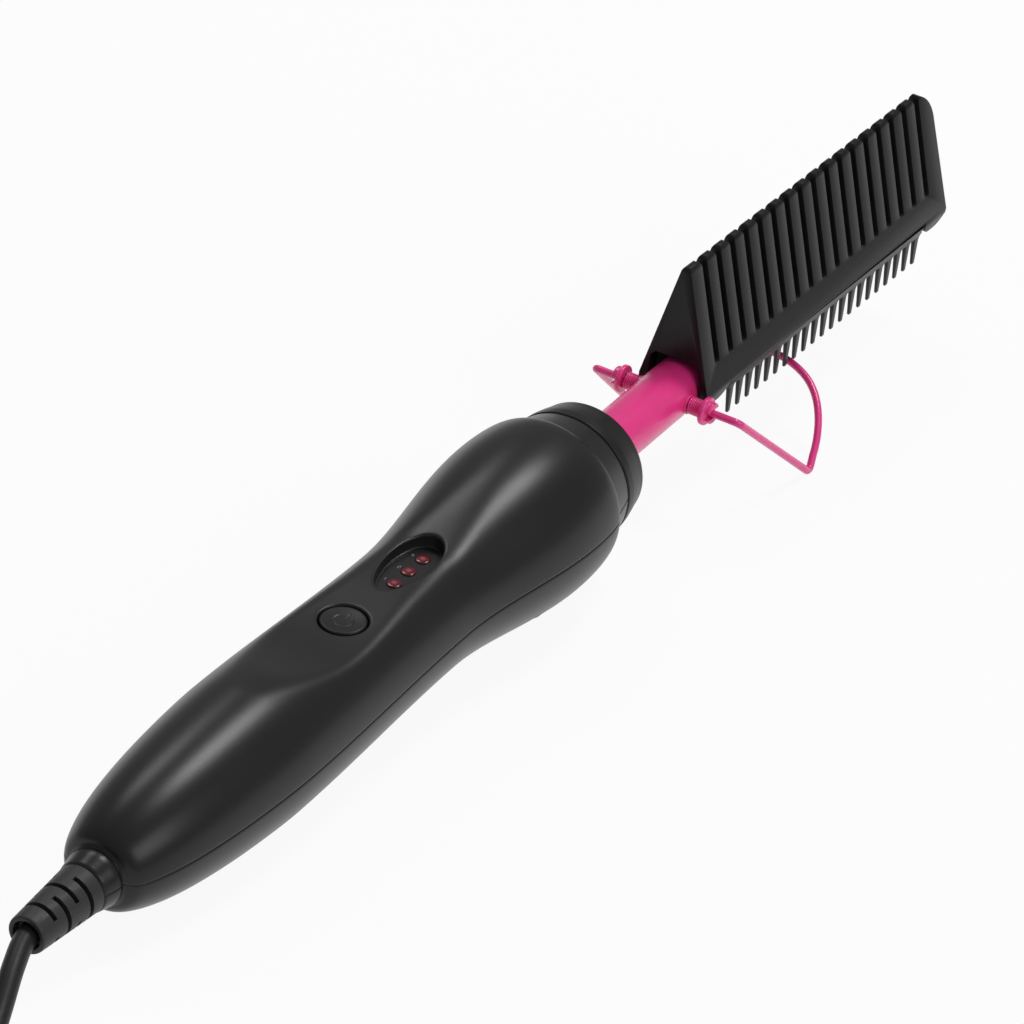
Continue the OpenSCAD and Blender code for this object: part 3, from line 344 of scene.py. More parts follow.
def oval(a):
    """Outline of the light recess, a little fuller towards the comb."""
    return np.array([recess_x + recess_length * np.cos(a),
                     recess_y + recess_width * np.sin(a) * (1 + 0.14 * np.cos(a))])


def ring_points(outline, offset, spacing):
    """Even points at a distance outside (or inside, if negative) of a closed outline."""
    a = np.linspace(0, 2 * math.pi, 721)
    p = np.array([outline(v) for v in a])
    t = np.gradient(p, axis=0)
    t[0] = t[-1] = p[1] - p[-2]
    n = np.column_stack([t[:, 1], -t[:, 0]]) / np.linalg.norm(t, axis=1)[:, None]
    p = p + n * offset
    along = np.concatenate([[0], np.cumsum(np.linalg.norm(np.diff(p, axis=0), axis=1))])
    count = max(12, int(along[-1] / spacing))
    even = np.linspace(0, along[-1], count, endpoint=False)
    return np.column_stack([np.interp(even, along, p[:, i]) for i in range(2)])


def circle(x, y, r):
    return lambda a: np.array([x + r * math.cos(a), y + r * math.sin(a)])


# A pit is (outline, height of its bottom, first and last X of the window that is remeshed for it).
# Its rings are (offset from the outline, drop) and go from the untouched skin over a rounded lip.
lip_rings = [(0.75, 0.0), (0.5, 0.004), (0.3, 0.03), (0.14, 0.1), (0.03, 0.22), (-0.02, 0.42)]
screw_places = [(30, 7.4), (30, -7.4), (124, 9.4), (124, -9.4)]
screw_seat_depth = 3
top_pits = [(circle(button_x, 0, button_hole_r), 8.9, (66, 84)),
            (oval, recess_floor, (85, 110))]
under_pits = [(circle(x, y, 2.5), -math.sqrt(float(handle_radius(x)) ** 2 - y * y) + screw_seat_depth,
               (x - 4.4, x + 4.4)) for x, y in screw_places]


def shell_point(x, share, side):
    """Point of a half shell: share runs over the half from the right parting edge to the left."""
    r = outer_radius(x)
    low = np.arcsin(np.clip(side * parting / r, -1, 1))
    a = low + share * (math.pi - 2 * low)
    from_edge = np.minimum(share, 1 - share) * math.pi * r
    r = r - 0.16 * np.clip(1 - from_edge / 0.45, 0, 1) ** 2
    y, z = -r * np.cos(a), r * np.sin(a)
    if side > 0:
        z = soft_min(z, flat_height(x), 1.1)
    return np.stack([x + 0 * z, y, z * side], -1)


def share_of(x, y, side):
    """The inverse of shell_point for a place seen from above or below."""
    r = outer_radius(x)
    low = np.arcsin(side * parting / r)
    return (np.arccos(np.clip(-y / r, -1, 1)) - low) / (math.pi - 2 * low)


def shell_skin(name, side, pits):
    spread = 14 * math.pi
    xs = np.unique(np.round(np.concatenate([
        [-4.4, -4.25, -4.05, -3.9, -3.65, -3.4, -2.6, -1.7, -0.9, -0.7, -0.45, -0.25, -0.05, 0.15, 0.35,
         0.6, 0.75, 0.95, 1.2, 1.5, 1.85, 2.25, 2.7, 3.2, 3.8, 4.5, 5.3, 6.2, 7.2, 8.3],
        np.arange(9.5, 138.01, 1.0), [138.8, 139.6, 140.4, 141.2, 141.9, 142.6, 143.2, 143.8, 144.3, 144.7,
                                      145.05, 145.35, 145.6, 145.8, 145.92, 146, 146.15, 146.25, 146.35,
                                      146.5, 147, 148.5, 150, 151.5, 152.1, 152.3, 152.5, 152.6, 152.7]]), 3))
    edge = [0, 0.12, 0.25, 0.4, 0.6, 0.9]
    us = np.unique(np.round(np.concatenate([edge, np.linspace(1.6, spread - 1.6, 44),
                                            spread - np.array(edge)]), 4))
    grid_x, grid_u = np.meshgrid(xs, us, indexing="ij")
    verts = shell_point(grid_x.ravel(), grid_u.ravel() / spread, side)
    index = np.arange(verts.shape[0]).reshape(len(xs), len(us))
    lo_u, hi_u = 4, len(us) - 5
    windows = []
    for outline, bottom, (x0, x1) in pits:
        i0 = int(np.searchsorted(xs, x0))
        i1 = int(np.searchsorted(xs, x1))
        if windows and windows[-1][0] == i0:
            windows[-1][2].append((outline, bottom))
        else:
            windows.append([i0, i1, [(outline, bottom)]])
    skip = np.zeros((len(xs) - 1, len(us) - 1), bool)
    faces, extra = [], []
    for i0, i1, group in windows:
        skip[i0:i1, lo_u:hi_u] = True
        flat, ids = [], []
        for i in range(i0, i1 + 1):
            for j in range(lo_u, hi_u + 1):
                x, u = xs[i], us[j]
                rim = i in (i0, i1) or j in (lo_u, hi_u)
                p = verts[index[i, j]]
                near = min(np.min(np.hypot(*(ring_points(o, 0, 0.6) - p[:2]).T)) for o, _ in group)
                inside = any(_inside(o, p[:2]) for o, _ in group)
                if rim or (near > 1.1 and not inside):
                    flat.append((x, u))
                    ids.append(index[i, j])
        edges = []
        for outline, bottom in group:
            rings = list(lip_rings) + [(-0.1, None), (-0.2, None), (-0.45, None), (-0.9, None)]
            for offset, drop in rings:
                ring = ring_points(outline, offset, 0.32 if offset > -0.3 else 0.6)
                start = len(flat)
                for x, y in ring:
                    share = float(share_of(x, y, side))
                    p = shell_point(np.float64(x), share, side)
                    skin = p[2]
                    if drop is not None:
                        z = skin - side * drop
                        z = max(z, bottom) if side > 0 else min(z, bottom)
                    else:
                        lift = 0.12 if offset == -0.1 else 0
                        z = bottom + side * lift
                    flat.append((x, share * spread))
                    ids.append(len(verts) + len(extra))
                    extra.append((x, y, z))
                count = len(flat) - start
                edges += [(start + k, start + (k + 1) % count) for k in range(count)]
            for x, y in _fill_points(outline):
                share = float(share_of(x, y, side))
                flat.append((x, share * spread))
                ids.append(len(verts) + len(extra))
                extra.append((x, y, bottom))
        out = delaunay_2d_cdt([Vector(p) for p in flat], edges, [], 0, 1e-5)
        origin = out[3]
        for tri in out[2]:
            a, b, c = (out[0][v] for v in tri)
            around = 1 if (b - a).cross(c - a) > 0 else -1
            faces.append(tuple(ids[origin[v][0]] for v in tri)[::around])
    quads = [(index[i, j], index[i + 1, j], index[i + 1, j + 1], index[i, j + 1])
             for i in range(len(xs) - 1) for j in range(len(us) - 1) if not skip[i, j]]
    all_verts = np.vstack([verts, np.array(extra)]) if extra else verts
    faces = [tuple(int(v) for v in f)[::side] for f in quads + faces]
    piece = new_piece(name, all_verts, faces)
    piece.vertex_groups.new(name="wall").add(list(range(len(verts))), 1, "REPLACE")
    return piece


def _inside(outline, p):
    ring = ring_points(outline, 0, 0.6)
    d = ring - np.asarray(p)
    a = np.arctan2(d[:, 1], d[:, 0])
    turn = np.diff(np.concatenate([a, a[:1]]))
    turn = (turn + math.pi) % (2 * math.pi) - math.pi
    return abs(turn.sum()) > math.pi


def _fill_points(outline):
    ring = ring_points(outline, -1.5, 0.6)
    low, high = ring.min(0), ring.max(0)
    found = [(x, y) for x in np.arange(low[0], high[0], 1.0) for y in np.arange(low[1], high[1], 1.0)
             if _inside(outline, (x, y)) and np.min(np.hypot(*(ring_points(outline, -0.9, 0.6)
                                                              - np.array([x, y])).T)) > 0.5]
    return found


def settle(piece, extra=Matrix.Identity(4), outward=True, crisp=None):
    """Turns a mesh drawn in handle millimetres into the row frame, with faces outward; crisp is the
    angle in degrees above which an edge stays sharp."""
    piece.data.transform(handle_frame @ extra)
    shape = bmesh.new()
    shape.from_mesh(piece.data)
    bmesh.ops.remove_doubles(shape, verts=shape.verts, dist=1e-7)
    if outward:
        bmesh.ops.recalc_face_normals(shape, faces=shape.faces)
    shape.to_mesh(piece.data)
    shape.free()
    if crisp:
        piece.data.set_sharp_from_angle(angle=math.radians(crisp))
    return piece


shell_wall, pit_wall_share = 1.6, 0.06


def walled(piece, thickness):
    """Gives an open skin its inner face and rims; the pits' walls are thinner than the rest."""
    wall = piece.modifiers.new("wall", "SOLIDIFY")
    wall.thickness = thickness * 0.001
    wall.offset = -1
    wall.use_even_offset = False
    wall.use_quality_normals = True
    wall.vertex_group, wall.thickness_vertex_group = "wall", pit_wall_share
    return baked(piece)


def baked(piece):
    """Replaces a piece's mesh by what its modifiers make of it."""
    graph = bpy.context.evaluated_depsgraph_get()
    mesh = bpy.data.meshes.new_from_object(piece.evaluated_get(graph))
    piece.modifiers.clear()
    piece.data = mesh
    return piece


shell_plastic = skin_material("shell_plastic", (0.0125, 0.0125, 0.0127), (0.017, 0.017, 0.0172), 0.32, 0.07,
                              grain=3600, height=0.35, depth=0.00002, stain=35, amount=0.35, specular=0.3)
upper_shell = walled(settle(shell_skin("upper_shell", 1, top_pits), outward=False), shell_wall)
lower_shell = walled(settle(shell_skin("lower_shell", -1, under_pits), outward=False), shell_wall)
dress(upper_shell, shell_plastic, "handle", "shell_plastic", "handle_upper_shell")
dress(lower_shell, shell_plastic, "handle", "shell_plastic", "handle_lower_shell")


# ---- Inside parts ----
# Heater, switch, board, leads, clamp and screws inside the handle and the tube. They keep the shapes
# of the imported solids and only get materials: steel, ceramic, film, silicone and moulded plastic.
screw_steel = skin_material("screw_steel", (0.5, 0.5, 0.51), (0.4, 0.39, 0.38), 0.32, 0.12, grain=900,
                            height=0.1, metallic=1.0)
board_green = skin_material("board_green", (0.03, 0.12, 0.05), (0.05, 0.15, 0.07), 0.4, 0.1, grain=1800)
chip_black = skin_material("chip_black", (0.02, 0.02, 0.021), (0.035, 0.035, 0.035), 0.45, 0.1)
film_amber = skin_material("film_amber", (0.45, 0.26, 0.05), (0.5, 0.32, 0.09), 0.35, 0.1, stain=200)
ceramic = skin_material("ceramic", (0.7, 0.66, 0.58), (0.6, 0.55, 0.47), 0.55, 0.1, grain=2500)
lead_silicone = skin_material("lead_silicone", (0.6, 0.58, 0.52), (0.5, 0.47, 0.4), 0.5, 0.1)
switch_plastic = skin_material("switch_plastic", (0.05, 0.05, 0.052), (0.07, 0.07, 0.07), 0.45, 0.1)
for material, names in ((screw_steel, ("shell_screws", "board_screws", "clamp_screws", "comb_screws")),
                        (board_green, ("circuit_board",)), (chip_black, ("triac", "control_chip")),
                        (film_amber, ("film_capacitor", "heater_sleeve", "temperature_probe")),
                        (ceramic, ("heater_bar", "thermal_fuse", "tube_bush")),
                        (lead_silicone, ("heater_leads", "mains_leads")),
                        (switch_plastic, ("tact_switch", "switch_plunger", "cord_clamp"))):
    for name in names:
        coat_node(name, material)


# ---- Strain relief ----
# A short cone of soft black rubber round the cord, held by its neck in the butt ring. Four rings of slots are
# cut into it, turned a quarter from one to the next; its mouth is a little wider than the cord.
def rounded(points, radii, steps=5, closed=True):
    """Puts an arc into each corner of a line of points, in the plane or in space."""
    p = [Vector((*q, 0)) if len(q) == 2 else Vector(q) for q in points]
    n, made = len(p), []
    for i, q in enumerate(p):
        r = radii if np.isscalar(radii) else radii[i]
        if not r or (not closed and i in (0, n - 1)):
            made.append(q)
            continue
        a, b = p[i - 1] - q, p[(i + 1) % n] - q
        half = a.angle(b) / 2
        if half > 1.55:
            made.append(q)
            continue
        run = min(r / math.tan(half), 0.48 * a.length, 0.48 * b.length)
        r = run * math.tan(half)
        a.normalize()
        b.normalize()
        centre = q + (a + b).normalized() * r / math.sin(half)
        first, last = q + a * run - centre, q + b * run - centre
        made += [centre + first.slerp(last, k / steps).normalized() * r for k in range(steps + 1)]
    return [(v.x, v.y, v.z) if len(points[0]) == 3 else (v.x, v.y) for v in made]


def lathe(name, profile, sides, axis="x"):
    """A closed ring of revolution from a closed profile of (place along the axis, radius)."""
    n = len(profile)
    angle = [2 * math.pi * k / sides for k in range(sides)]
    turned = {"x": lambda u, c, s: (u, c, s), "y": lambda u, c, s: (s, u, c),
              "z": lambda u, c, s: (c, s, u)}[axis]
    verts = [turned(u, r * math.cos(a), r * math.sin(a)) for u, r in profile for a in angle]
    faces = [(i * sides + k, i * sides + (k + 1) % sides, (i + 1) % n * sides + (k + 1) % sides,
              (i + 1) % n * sides + k) for i in range(n) for k in range(sides)]
    return new_piece(name, verts, faces)


def joined(first, *others):
    """One piece from several meshes, which stay separate shells inside it."""
    shape = bmesh.new()
    for piece in (first, *others):
        shape.from_mesh(piece.data)
    shape.to_mesh(first.data)
    shape.free()
    for piece in others:
        bpy.data.objects.remove(piece)
    return first


def carved(piece, cutter, edge=0.0, edge_angle=35):
    """Cuts one mesh out of a piece and softens the edges; both are drawn in the row frame."""
    cut = piece.modifiers.new("cut", "BOOLEAN")
    cut.operation, cut.solver, cut.object = "DIFFERENCE", "EXACT", cutter
    baked(piece)
    bpy.data.objects.remove(cutter)
    return softened(piece, edge, edge_angle)


def softened(piece, edge, edge_angle=35):
    """Rounds all edges sharper than an angle by so many millimetres."""
    shape = bmesh.new()
    shape.from_mesh(piece.data)
    bmesh.ops.remove_doubles(shape, verts=shape.verts, dist=1e-6)
    bmesh.ops.dissolve_limit(shape, angle_limit=math.radians(0.6), verts=shape.verts, edges=shape.edges)
    shape.to_mesh(piece.data)
    shape.free()
    if edge:
        bevel = piece.modifiers.new("edge", "BEVEL")
        bevel.limit_method, bevel.angle_limit = "ANGLE", math.radians(edge_angle)
        bevel.width, bevel.segments, bevel.use_clamp_overlap = edge * 0.001, 2, True
        baked(piece)
    piece.data.shade_smooth()
    piece.data.set_sharp_from_angle(angle=math.radians(edge_angle))
    return piece


relief_end, relief_start = -20.4, -4.4
relief_tip_r, relief_root_r, mouth_r, mouth_depth = 3.7, 4.8, 2.75, 1.6
relief_neck_r, relief_bore, neck_inside = 3.4, 2.05, 2
relief_profile = rounded([(relief_end, mouth_r), (relief_end, relief_tip_r - 0.1),
                          (relief_end + 0.5, relief_tip_r), (relief_start, relief_root_r),
                          (relief_start, relief_neck_r), (neck_inside, relief_neck_r),
                          (neck_inside, relief_bore), (relief_end + mouth_depth, relief_bore),
                          (relief_end + mouth_depth, mouth_r - 0.2)],
                         [0.3, 0.3, 0.3, 0.15, 0, 0, 0, 0, 0.3])
relief = settle(lathe("strain_relief", relief_profile, 96))


def slot_ring(x, width, inner, outer, middle, span, steps=26):
    """An arc-shaped cutter for one slot."""
    verts, faces = [], []
    for k in range(steps + 1):
        a = math.radians(middle - span / 2 + span * k / steps)
        for u, r in ((x - width / 2, inner), (x + width / 2, inner),
                     (x + width / 2, outer), (x - width / 2, outer)):
            verts.append((u, -r * math.sin(a), r * math.cos(a)))
    for k in range(steps):
        faces += [(4 * k + i, 4 * k + (i + 1) % 4, 4 * k + 4 + (i + 1) % 4, 4 * k + 4 + i) for i in range(4)]
    faces += [(0, 1, 2, 3), (4 * steps + 3, 4 * steps + 2, 4 * steps + 1, 4 * steps)]
    return new_piece("slot", verts, faces, smooth=False)


slots = []
first_slot, slot_pitch, slot_width, slot_depth, slot_span = 3.2, 2.95, 0.95, 1.25, 130
for row in range(4):
    slot_x = relief_start - first_slot - slot_pitch * row
    skin_r = relief_root_r + (relief_tip_r - relief_root_r) * (relief_start - slot_x) / 16
    for half in (0, 180):
        slots.append(settle(slot_ring(slot_x, slot_width, skin_r - slot_depth, skin_r + 2,
                                      (72 if row % 2 == 0 else 170) + half, slot_span)))
relief = carved(relief, joined(*slots), 0.1)
relief_rubber = skin_material("relief_rubber", (0.026, 0.026, 0.0265), (0.036, 0.036, 0.0365), 0.5, 0.1,
                              grain=2600, height=0.3, stain=120, specular=0.35)
dress(relief, relief_rubber, "handle", "gland_rubber", "cord_gland")


# ---- Front collar ----
# A turned-looking cap of the same black plastic with a waisted lip; its spigot is pushed into the
# handle and its rim frames the tube.
collar_profile = [(146.6, 11.6), (152.82, 11.6), (152.82, 13.2), (153.1, 13.45), (154.9, 13.25),
                  (156.8, 12.85), (158.6, 12.4), (159.9, 12.15), (160.5, 11.75), (160.8, 10.9),
                  (160.9, 9.8), (160.9, 5.65), (157.9, 5.65), (157.9, 8.65), (146.6, 8.65)]
collar_fillets = [0.2, 0, 0.2, 0.25, 0.6, 0.6, 0.6, 0.5, 0.4, 0.4, 0.5, 0.35, 0, 0, 0]
collar = settle(lathe("front_collar_cap", rounded(collar_profile, collar_fillets), 128), crisp=50)
collar_plastic = skin_material("collar_plastic", (0.0105, 0.0105, 0.0107), (0.015, 0.015, 0.015), 0.38, 0.08,
                               grain=3200, height=0.3, depth=0.00002, stain=50, specular=0.26)
dress(collar, collar_plastic, "handle", "collar_plastic", "front_collar")


# ---- Heat tube ----
# A drawn steel tube in metallic magenta paint, with a flat round boss on each side that carries the
# stand's hinge. It runs from its flange in the handle into the comb head.
tube_r, tube_bore = 5.3, 4.5
tube_profile = rounded([(119, tube_bore), (119, tube_r), (138, tube_r), (138, 8), (139.6, 8), (139.6, tube_r),
                        (213.4, tube_r), (213.4, tube_bore)], 0.15)
long_tube = lathe("tube", tube_profile, 128)
boss_foot, boss_face, boss_bore, boss_r = 4.6, 5.65, 0.85, 1.95
bosses = []
for side in (-1, 1):
    section = [(side * boss_foot, boss_bore), (side * boss_face, boss_bore),
               (side * boss_face, boss_r), (side * boss_foot, boss_r)]
    boss = lathe("boss", rounded(section, [0, 0.1, 0.12, 0]), 48, axis="y")
    boss.data.transform(Matrix.Translation((pivot_x, 0, 0)))
    bosses.append(boss)
tube = settle(joined(long_tube, *bosses), crisp=50)


def paint_material(name, color, deep, roughness, metallic, coat):
    """Magenta paint: a faint orange peel, a slightly uneven gloss and dust-dulled spots."""
    return skin_material(name, color, deep, roughness, 0.14, grain=1200, height=0.12, depth=0.00002,
                         stain=220, amount=0.5, metallic=metallic, coat=coat, coat_roughness=0.12)


tube_paint = paint_material("tube_paint", (0.9, 0.042, 0.27), (0.78, 0.032, 0.22), 0.34, 0.04, 0.15)
wire_paint = paint_material("wire_paint", (0.88, 0.05, 0.29), (0.74, 0.038, 0.23), 0.3, 0.04, 0.2)
dress(tube, tube_paint, "handle", "tube_paint", "heat_tube")


# ---- Comb head ----
# A cast aluminium body with a black non-stick coat: seventeen slots cut across its ridge, a lug at
# each end that frames the tooth plate, and rounded casting edges.
head_copy = bpy.data.objects.new("comb_casting", frame["nodes"]["comb_head"].data.copy())
bpy.context.scene.collection.objects.link(head_copy)
head = softened(head_copy, 0.22, 32)
comb_coating = skin_material("comb_coating", (0.0075, 0.0075, 0.0078), (0.012, 0.012, 0.0125), 0.4, 0.1,
                             grain=2400, height=0.5, depth=0.00003, stain=80, amount=0.4, specular=0.2)
dress(head, comb_coating, "handle", "comb_coating", "comb_head")


# ---- Fine teeth ----
# One die-cast plate with two rows of 21 thin, slightly raked teeth that lean inwards; neighbours
# meet in round arches at the root. It closes the comb head from below.
comb_place = Matrix.Translation((191.4, 0, 0)) @ Matrix.Rotation(math.radians(2.3), 4, "Y")
tooth_count, tooth_pitch, first_tooth = 21, 3.71, 12.2
arch_gap_r, tooth_top, tooth_base, tooth_tip = 1.105, -1.9, -2.3, -9.3


def tooth_half_width(z):
    """Half width of a tooth: arches at its root, then a slim taper and a rounded tip."""
    centre = tooth_base - 0.9
    if z >= centre:
        over = arch_gap_r ** 2 - (z - centre) ** 2
        return tooth_pitch / 2 - (math.sqrt(over) if over > 0 else 0) * 1.025 / arch_gap_r
    w = 0.83 - 0.34 * (centre - z) / 7
    return w * math.sqrt(max(0.02, min(1, (z - tooth_tip) / 0.35))) if z < tooth_tip + 0.35 else w


def tooth_mesh():
    levels = [tooth_top, -2.05, -2.095, -2.105, -2.13, -2.18, -2.27, -2.4, -2.6, -2.85, -3.2, -4.2, -5.4, -6.6,
              -7.6, -8.4, -8.95, -9.1, -9.2, -9.26, tooth_tip]
    verts, sides = [], 20
    for z in levels:
        w = tooth_half_width(z)
        down = (tooth_base - z) / 7
        shift = 1.1 * max(0, (tooth_base - 0.9 - z) / 7)
        outer = 6.5 - 0.65 * max(0, down)
        t = 0.9 - 0.38 * max(0, down)
        if z < tooth_tip + 0.35:
            t *= math.sqrt(max(0.02, (z - tooth_tip) / 0.35))
        middle = outer - (0.9 - 0.38 * max(0, down)) / 2
        r = min(0.2, 0.45 * t, 0.45 * w)
        section = rounded([(-w, -t / 2), (w, -t / 2), (w, t / 2), (-w, t / 2)], r, steps=4)
        verts += [(shift + u, middle + v, z) for u, v in section]
    tooth = new_piece("tooth", verts, closed_rings(len(levels), sides))
    shape = bmesh.new()
    shape.from_mesh(tooth.data)
    bmesh.ops.recalc_face_normals(shape, faces=shape.faces)
    shape.to_mesh(tooth.data)
    shape.free()
    return tooth


def bar_mesh(name, section, x0, x1, soft):
    """A bar along the comb with a section of (y, z) and softened ends."""
    centre = np.mean(section, axis=0)
    verts = []
    stops = [(x0, 1 - 1.6 * soft / 7), (x0 + soft * 0.3, 1 - 0.5 * soft / 7), (x0 + soft, 1), (x1 - soft, 1),
             (x1 - soft * 0.3, 1 - 0.5 * soft / 7), (x1, 1 - 1.6 * soft / 7)]
    for x, grow in stops:
        verts += [(x, *(centre + (np.array(p) - centre) * grow)) for p in section]
    return new_piece(name, verts, closed_rings(len(stops), len(section)))


def tooth_rows_tree(material):
    """Geometry Nodes: one tooth set along a line, mirrored to the other side, added to the plate."""
    tree = bpy.data.node_groups.new("tooth_rows", "GeometryNodeTree")
    for name, kind in (("Geometry", "NodeSocketGeometry"), ("Tooth", "NodeSocketObject"),
                       ("Count", "NodeSocketInt"), ("First", "NodeSocketVector"), ("Pitch", "NodeSocketVector")):
        tree.interface.new_socket(name, in_out="INPUT", socket_type=kind)
    tree.interface.new_socket("Geometry", in_out="OUTPUT", socket_type="NodeSocketGeometry")
    node, link = tree.nodes.new, tree.links.new
    given, result = node("NodeGroupInput"), node("NodeGroupOutput")
    line, info = node("GeometryNodeMeshLine"), node("GeometryNodeObjectInfo")
    put, real = node("GeometryNodeInstanceOnPoints"), node("GeometryNodeRealizeInstances")
    mirror, flip = node("GeometryNodeTransform"), node("GeometryNodeFlipFaces")
    join, skin = node("GeometryNodeJoinGeometry"), node("GeometryNodeSetMaterial")
    link(given.outputs["Count"], line.inputs["Count"])
    link(given.outputs["First"], line.inputs["Start Location"])
    link(given.outputs["Pitch"], line.inputs["Offset"])
    link(given.outputs["Tooth"], info.inputs["Object"])
    link(line.outputs["Mesh"], put.inputs["Points"])
    link(info.outputs["Geometry"], put.inputs["Instance"])
    link(put.outputs["Instances"], real.inputs["Geometry"])
    link(real.outputs["Geometry"], mirror.inputs["Geometry"])
    mirror.inputs["Scale"].default_value = (1, -1, 1)
    link(mirror.outputs["Geometry"], flip.inputs["Mesh"])
    link(given.outputs["Geometry"], join.inputs["Geometry"])
    link(real.outputs["Geometry"], join.inputs["Geometry"])
    link(flip.outputs["Mesh"], join.inputs["Geometry"])
    skin.inputs["Material"].default_value = material
    link(join.outputs["Geometry"], skin.inputs["Geometry"])
    link(skin.outputs["Geometry"], result.inputs["Geometry"])
    return tree


tooth_coating = skin_material("tooth_coating", (0.01, 0.01, 0.0105), (0.016, 0.016, 0.0165), 0.4, 0.1,
                              grain=2400, height=0.4, depth=0.00003, stain=90, amount=0.4, specular=0.3)
plate = bar_mesh("tooth_rows", rounded([(-7.4, -0.02), (7.4, -0.02), (6.62, -2.3), (-6.62, -2.3)],
                                       [0.1, 0.1, 0.3, 0.3]), 10.2, 87.3, 0.5)
plate = joined(plate, bar_mesh("tongue", rounded([(-3.9, -1.15), (3.9, -1.15), (3.9, 0.8), (-3.9, 0.8)], 0.3),
                               30, 82, 0.5))
tooth = tooth_mesh()
rows_tree = tooth_rows_tree(tooth_coating)
rows = plate.modifiers.new("rows", "NODES")
rows.node_group = rows_tree
for item in rows_tree.interface.items_tree:
    if item.in_out == "INPUT" and item.name in ("Tooth", "Count", "First", "Pitch"):
        rows[item.identifier] = {"Tooth": tooth, "Count": tooth_count, "First": (first_tooth, 0, 0),
                                 "Pitch": (tooth_pitch, 0, 0)}[item.name]
teeth = baked(plate)
bpy.data.objects.remove(tooth)
settle(teeth, comb_place, crisp=40)
dress(teeth, tooth_coating, "handle", "tooth_coating", "tooth_plate")


# ---- Wire stand ----
# One bent steel wire with magenta paint: two pins in the tube's bosses, legs that spread to the
# feet, and a half round arch between them. It turns in the tube with its two caps.
wire_r = 0.75
bend_left, bend_right, foot_spot, arch_slope = 15.4, 16.4, (25, 19.8, -22.2), math.radians(31)
arch_centre = Vector((foot_spot[0] + math.cos(arch_slope), 0, foot_spot[2] + math.sin(arch_slope)))
arch_r, arch_turn = math.hypot(19.4, 1), math.atan(1 / 19.4)


def arch_point(angle):
    along = Vector((math.cos(arch_slope), 0, math.sin(arch_slope)))
    squeeze = 1 - 0.045 * math.sin(math.pi * min(max((abs(angle) - 0.5) / 1.1, 0), 1))
    return arch_centre + arch_r * (math.cos(angle) * along + squeeze * math.sin(angle) * Vector((0, 1, 0)))


def wire_path(foot_drop):
    """Middle line of the wire; foot_drop lowers the feet's corners for their rounding."""
    top = math.pi / 2 + arch_turn
    corner = Vector(foot_spot) + Vector((0, 0.02, -foot_drop))
    arch = [tuple(arch_point(a)) for a in np.linspace(top - 0.16, -top + 0.16, 60)]
    left = [(0, 3, 0), (0, bend_left, 0), tuple(corner)]
    right = [(corner.x, -corner.y, corner.z), (0, -bend_right, 0), (0, -3, 0)]
    line = left + arch + right
    radii = [0, 1.3, 1.6] + [0] * len(arch) + [1.6, 1.3, 0]
    line = rounded(line, radii, steps=9, closed=False)
    dense = [np.array(line[0])]
    for a, b in zip(line[:-1], line[1:]):
        a, b = np.array(a), np.array(b)
        cuts = max(1, int(np.linalg.norm(b - a) / 1.2))
        dense += [a + (b - a) * k / cuts for k in range(1, cuts + 1)]
    return np.array(dense) + np.array([pivot_x, 0, 0])


drop = 0.2
for _ in range(6):
    lowest = min((handle_frame @ Vector(p)).z for p in wire_path(drop)) * 1000 - wire_r
    drop += lowest


def frame_tube(name, points, radius, sides):
    """A round tube whose rings don't twist, along a line that may turn any way."""
    p = np.array(points, float)
    t = np.gradient(p, axis=0)
    t /= np.linalg.norm(t, axis=1)[:, None]
    side = np.cross(t[0], (0.1, 0.2, 1))
    verts = []
    for i in range(len(p)):
        side = side - t[i] * side.dot(t[i])
        side /= np.linalg.norm(side)
        top = np.cross(t[i], side)
        verts += [p[i] + radius * (math.cos(a) * side + math.sin(a) * top)
                  for a in np.arange(sides) * 2 * math.pi / sides]
    return new_piece(name, verts, closed_rings(len(p), sides))


wire = settle(frame_tube("stand_bow", wire_path(drop), wire_r, 24), crisp=60)
dress(wire, wire_paint, "stand", "wire_paint", "stand_wire")


# ---- Hinge caps and springs ----
# On each side a pressed cap with a slotted hub keeps the wire in the tube, and a small coil spring
# between cap and boss keeps the stand stiff. All are painted with the wire.
cap_start, cap_step, cap_end, cap_bore, cap_r, hub_r = 8.7, 9.7, 10.9, 0.78, 2.8, 2.1
slot_start, hub_slot_half = 10.0, 0.85
curls, coil_r, curl_steps, spring_start, spring_length, spring_wire_r = 6, 1.55, 30, 5.87, 2.5, 0.2
cap_profile = rounded([(cap_start, cap_bore), (cap_start, cap_r), (cap_step, cap_r), (cap_step, hub_r),
                       (cap_end, hub_r), (cap_end, cap_bore)], [0, 0.3, 0.3, 0.25, 0.3, 0])
for side, word in ((1, "left"), (-1, "right")):
    cap = lathe("cap_" + word, [(side * u, r) for u, r in cap_profile], 64, axis="y")
    cap.data.transform(Matrix.Translation((pivot_x, 0, 0)))
    slot_cut = new_piece("slot", [(pivot_x + a, side * b, c) for a in (-4, 4)
                                  for b in (slot_start, 13) for c in (-hub_slot_half, hub_slot_half)],
                         [(0, 1, 3, 2), (4, 6, 7, 5), (0, 4, 5, 1), (2, 3, 7, 6), (0, 2, 6, 4), (1, 5, 7, 3)],
                         smooth=False)
    cap = carved(settle(cap), settle(slot_cut), 0.1, 40)
    dress(cap, wire_paint, "stand", "wire_paint", "stand_cap_" + word)
    whole = 2 * math.pi * curls
    helix = [(pivot_x + coil_r * math.cos(a), side * (spring_start + spring_length * a / whole),
              coil_r * math.sin(a)) for a in np.linspace(0, whole, curls * curl_steps + 1)]
    spring = settle(frame_tube("spring_" + word, helix, spring_wire_r, 10))
    dress(spring, wire_paint, "handle", "wire_paint", "stand_spring_" + word)


